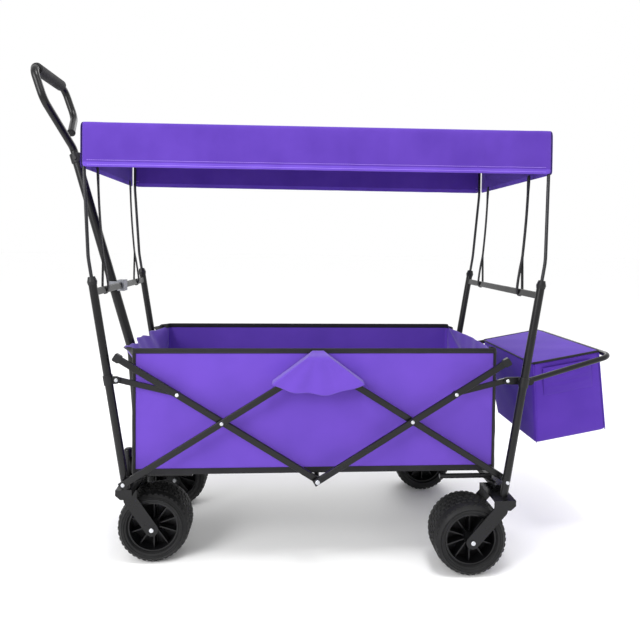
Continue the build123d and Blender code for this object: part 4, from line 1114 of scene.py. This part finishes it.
graph = bpy.context.evaluated_depsgraph_get()
bpy.context.view_layer.update()
cover_seams = []
surface = cover.evaluated_get(graph)
for label, height in (("low", 5.5 * MM), ("high", HEM)):
    z = cover_low.z + height + 1 * MM
    rounds = []
    corners = [(cover_low.x, -1), (cover_high.x, -1), (cover_high.x, 1), (cover_low.x, 1), (cover_low.x, -1)]
    for (xa, ha), (xb, hb) in zip(corners, corners[1:]):
        a = Vector((xa, ha * cover_half_width(xa), z))
        b = Vector((xb, hb * cover_half_width(xb), z))
        outwards = (b - a).cross(Vector((0, 0, 1))).normalized()
        count = max(6, round((b - a).length / 0.02))
        for k in range(1, count):
            start = a.lerp(b, k / count) + outwards * 0.05
            hit, place, normal, _ = surface.ray_cast(start, -outwards, distance=0.12)
            if hit:
                rounds.append(place + normal * 0.2 * MM)
    cover_seams.append(stitches(f"canopy_stitches_{label}", rounds, pale_row))
tape_seams = []
for tag in ("left", "right"):
    line = level_points(side_columns(tag, 3), rim_z - 9.5 * MM, lift + TAPE / 2 + 0.1 * MM)
    tape_seams.append(stitches(f"rim_stitches_{tag}", line, dark_row))
print("seams:", len(cover_seams) + len(tape_seams))

# %% [markdown]
# ## Small sewn things
# Black tabs of hook tape join the ends of the tub to its sides at the four top corners.

# %% Corner tabs
tabs = []
for tag, deep in (("front", 40 * MM), ("rear", 26 * MM)):
    for end in (0, 1):
        columns = side_columns(tag, 0)
        columns = columns[:5] if end == 0 else columns[-5:]
        heights = np.linspace(rim_z - deep, rim_z - 3 * MM, 7)
        rows = [level_points(columns, z, lift + 0.6 * MM) for z in heights]
        tabs.append(thicken(sheet_mesh(f"corner_tab_{tag}_{end}", rows, edge_tape), TAPE))

# %% [markdown]
# ## What rides on what
# Every piece takes its motion from a body of the model, and the tub's and the canopy's pieces get meshes of their
# own.

# %% Ride on the bodies
tub_pieces = [tub_band, lining, mat, front_patch] + hoods + tapes + tabs + tape_seams + boards
for piece in tub_pieces:
    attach(piece, "tub")
    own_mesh(piece)
for piece in [cover] + cover_seams:
    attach(piece, "rear_frame")
    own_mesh(piece)
for piece in [bag_cloth_body] + bag_pockets + bag_seams:
    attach(piece, "bag_frame")
for piece in (lid, lid_piping, hinge_band):
    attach(piece, "bag_lid")
for end in ("front", "rear"):
    for piece in straps[end]:
        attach(piece, f"{end}_frame")
for (end, side), piece in tyres.items():
    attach(piece, f"{end}_wheel_{side}")

# %% What each piece stands in for
for piece, node_name in ((tub_band, "tub_fabric"), (mat, "floor_mat"), (boards[0], "floor_boards"),
                         (hoods[0], "tub_pockets"), (cover, "canopy_cover"), (bag_cloth_body, "bag_body"),
                         (lid, "bag_lid"), (straps["front"][0], "front_canopy_straps"),
                         (straps["rear"][0], "rear_canopy_straps")):
    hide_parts(node_name)
for (end, side), piece in tyres.items():
    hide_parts(f"{end}_tyre_{side}")

# %% Pieces listed with slot names; the loop over them sets nothing
purple = tub_pieces[:2] + hoods + [front_patch, bag_cloth_body, lid] + bag_pockets + bag_seams
dark = tapes + tabs + tape_seams + [lid_piping, hinge_band] + straps["front"] + straps["rear"]
SLOTS = [(purple, "purple_fabric"), ([mat], "board_fabric"), ([cover], "canopy_fabric"), (dark, "dark_fabric"),
         (list(tyres.values()), "tyre_rubber"), (boards, "black_plastic"), (cover_seams, "canopy_fabric")]
for some, slot_name in SLOTS:
    for piece in some:
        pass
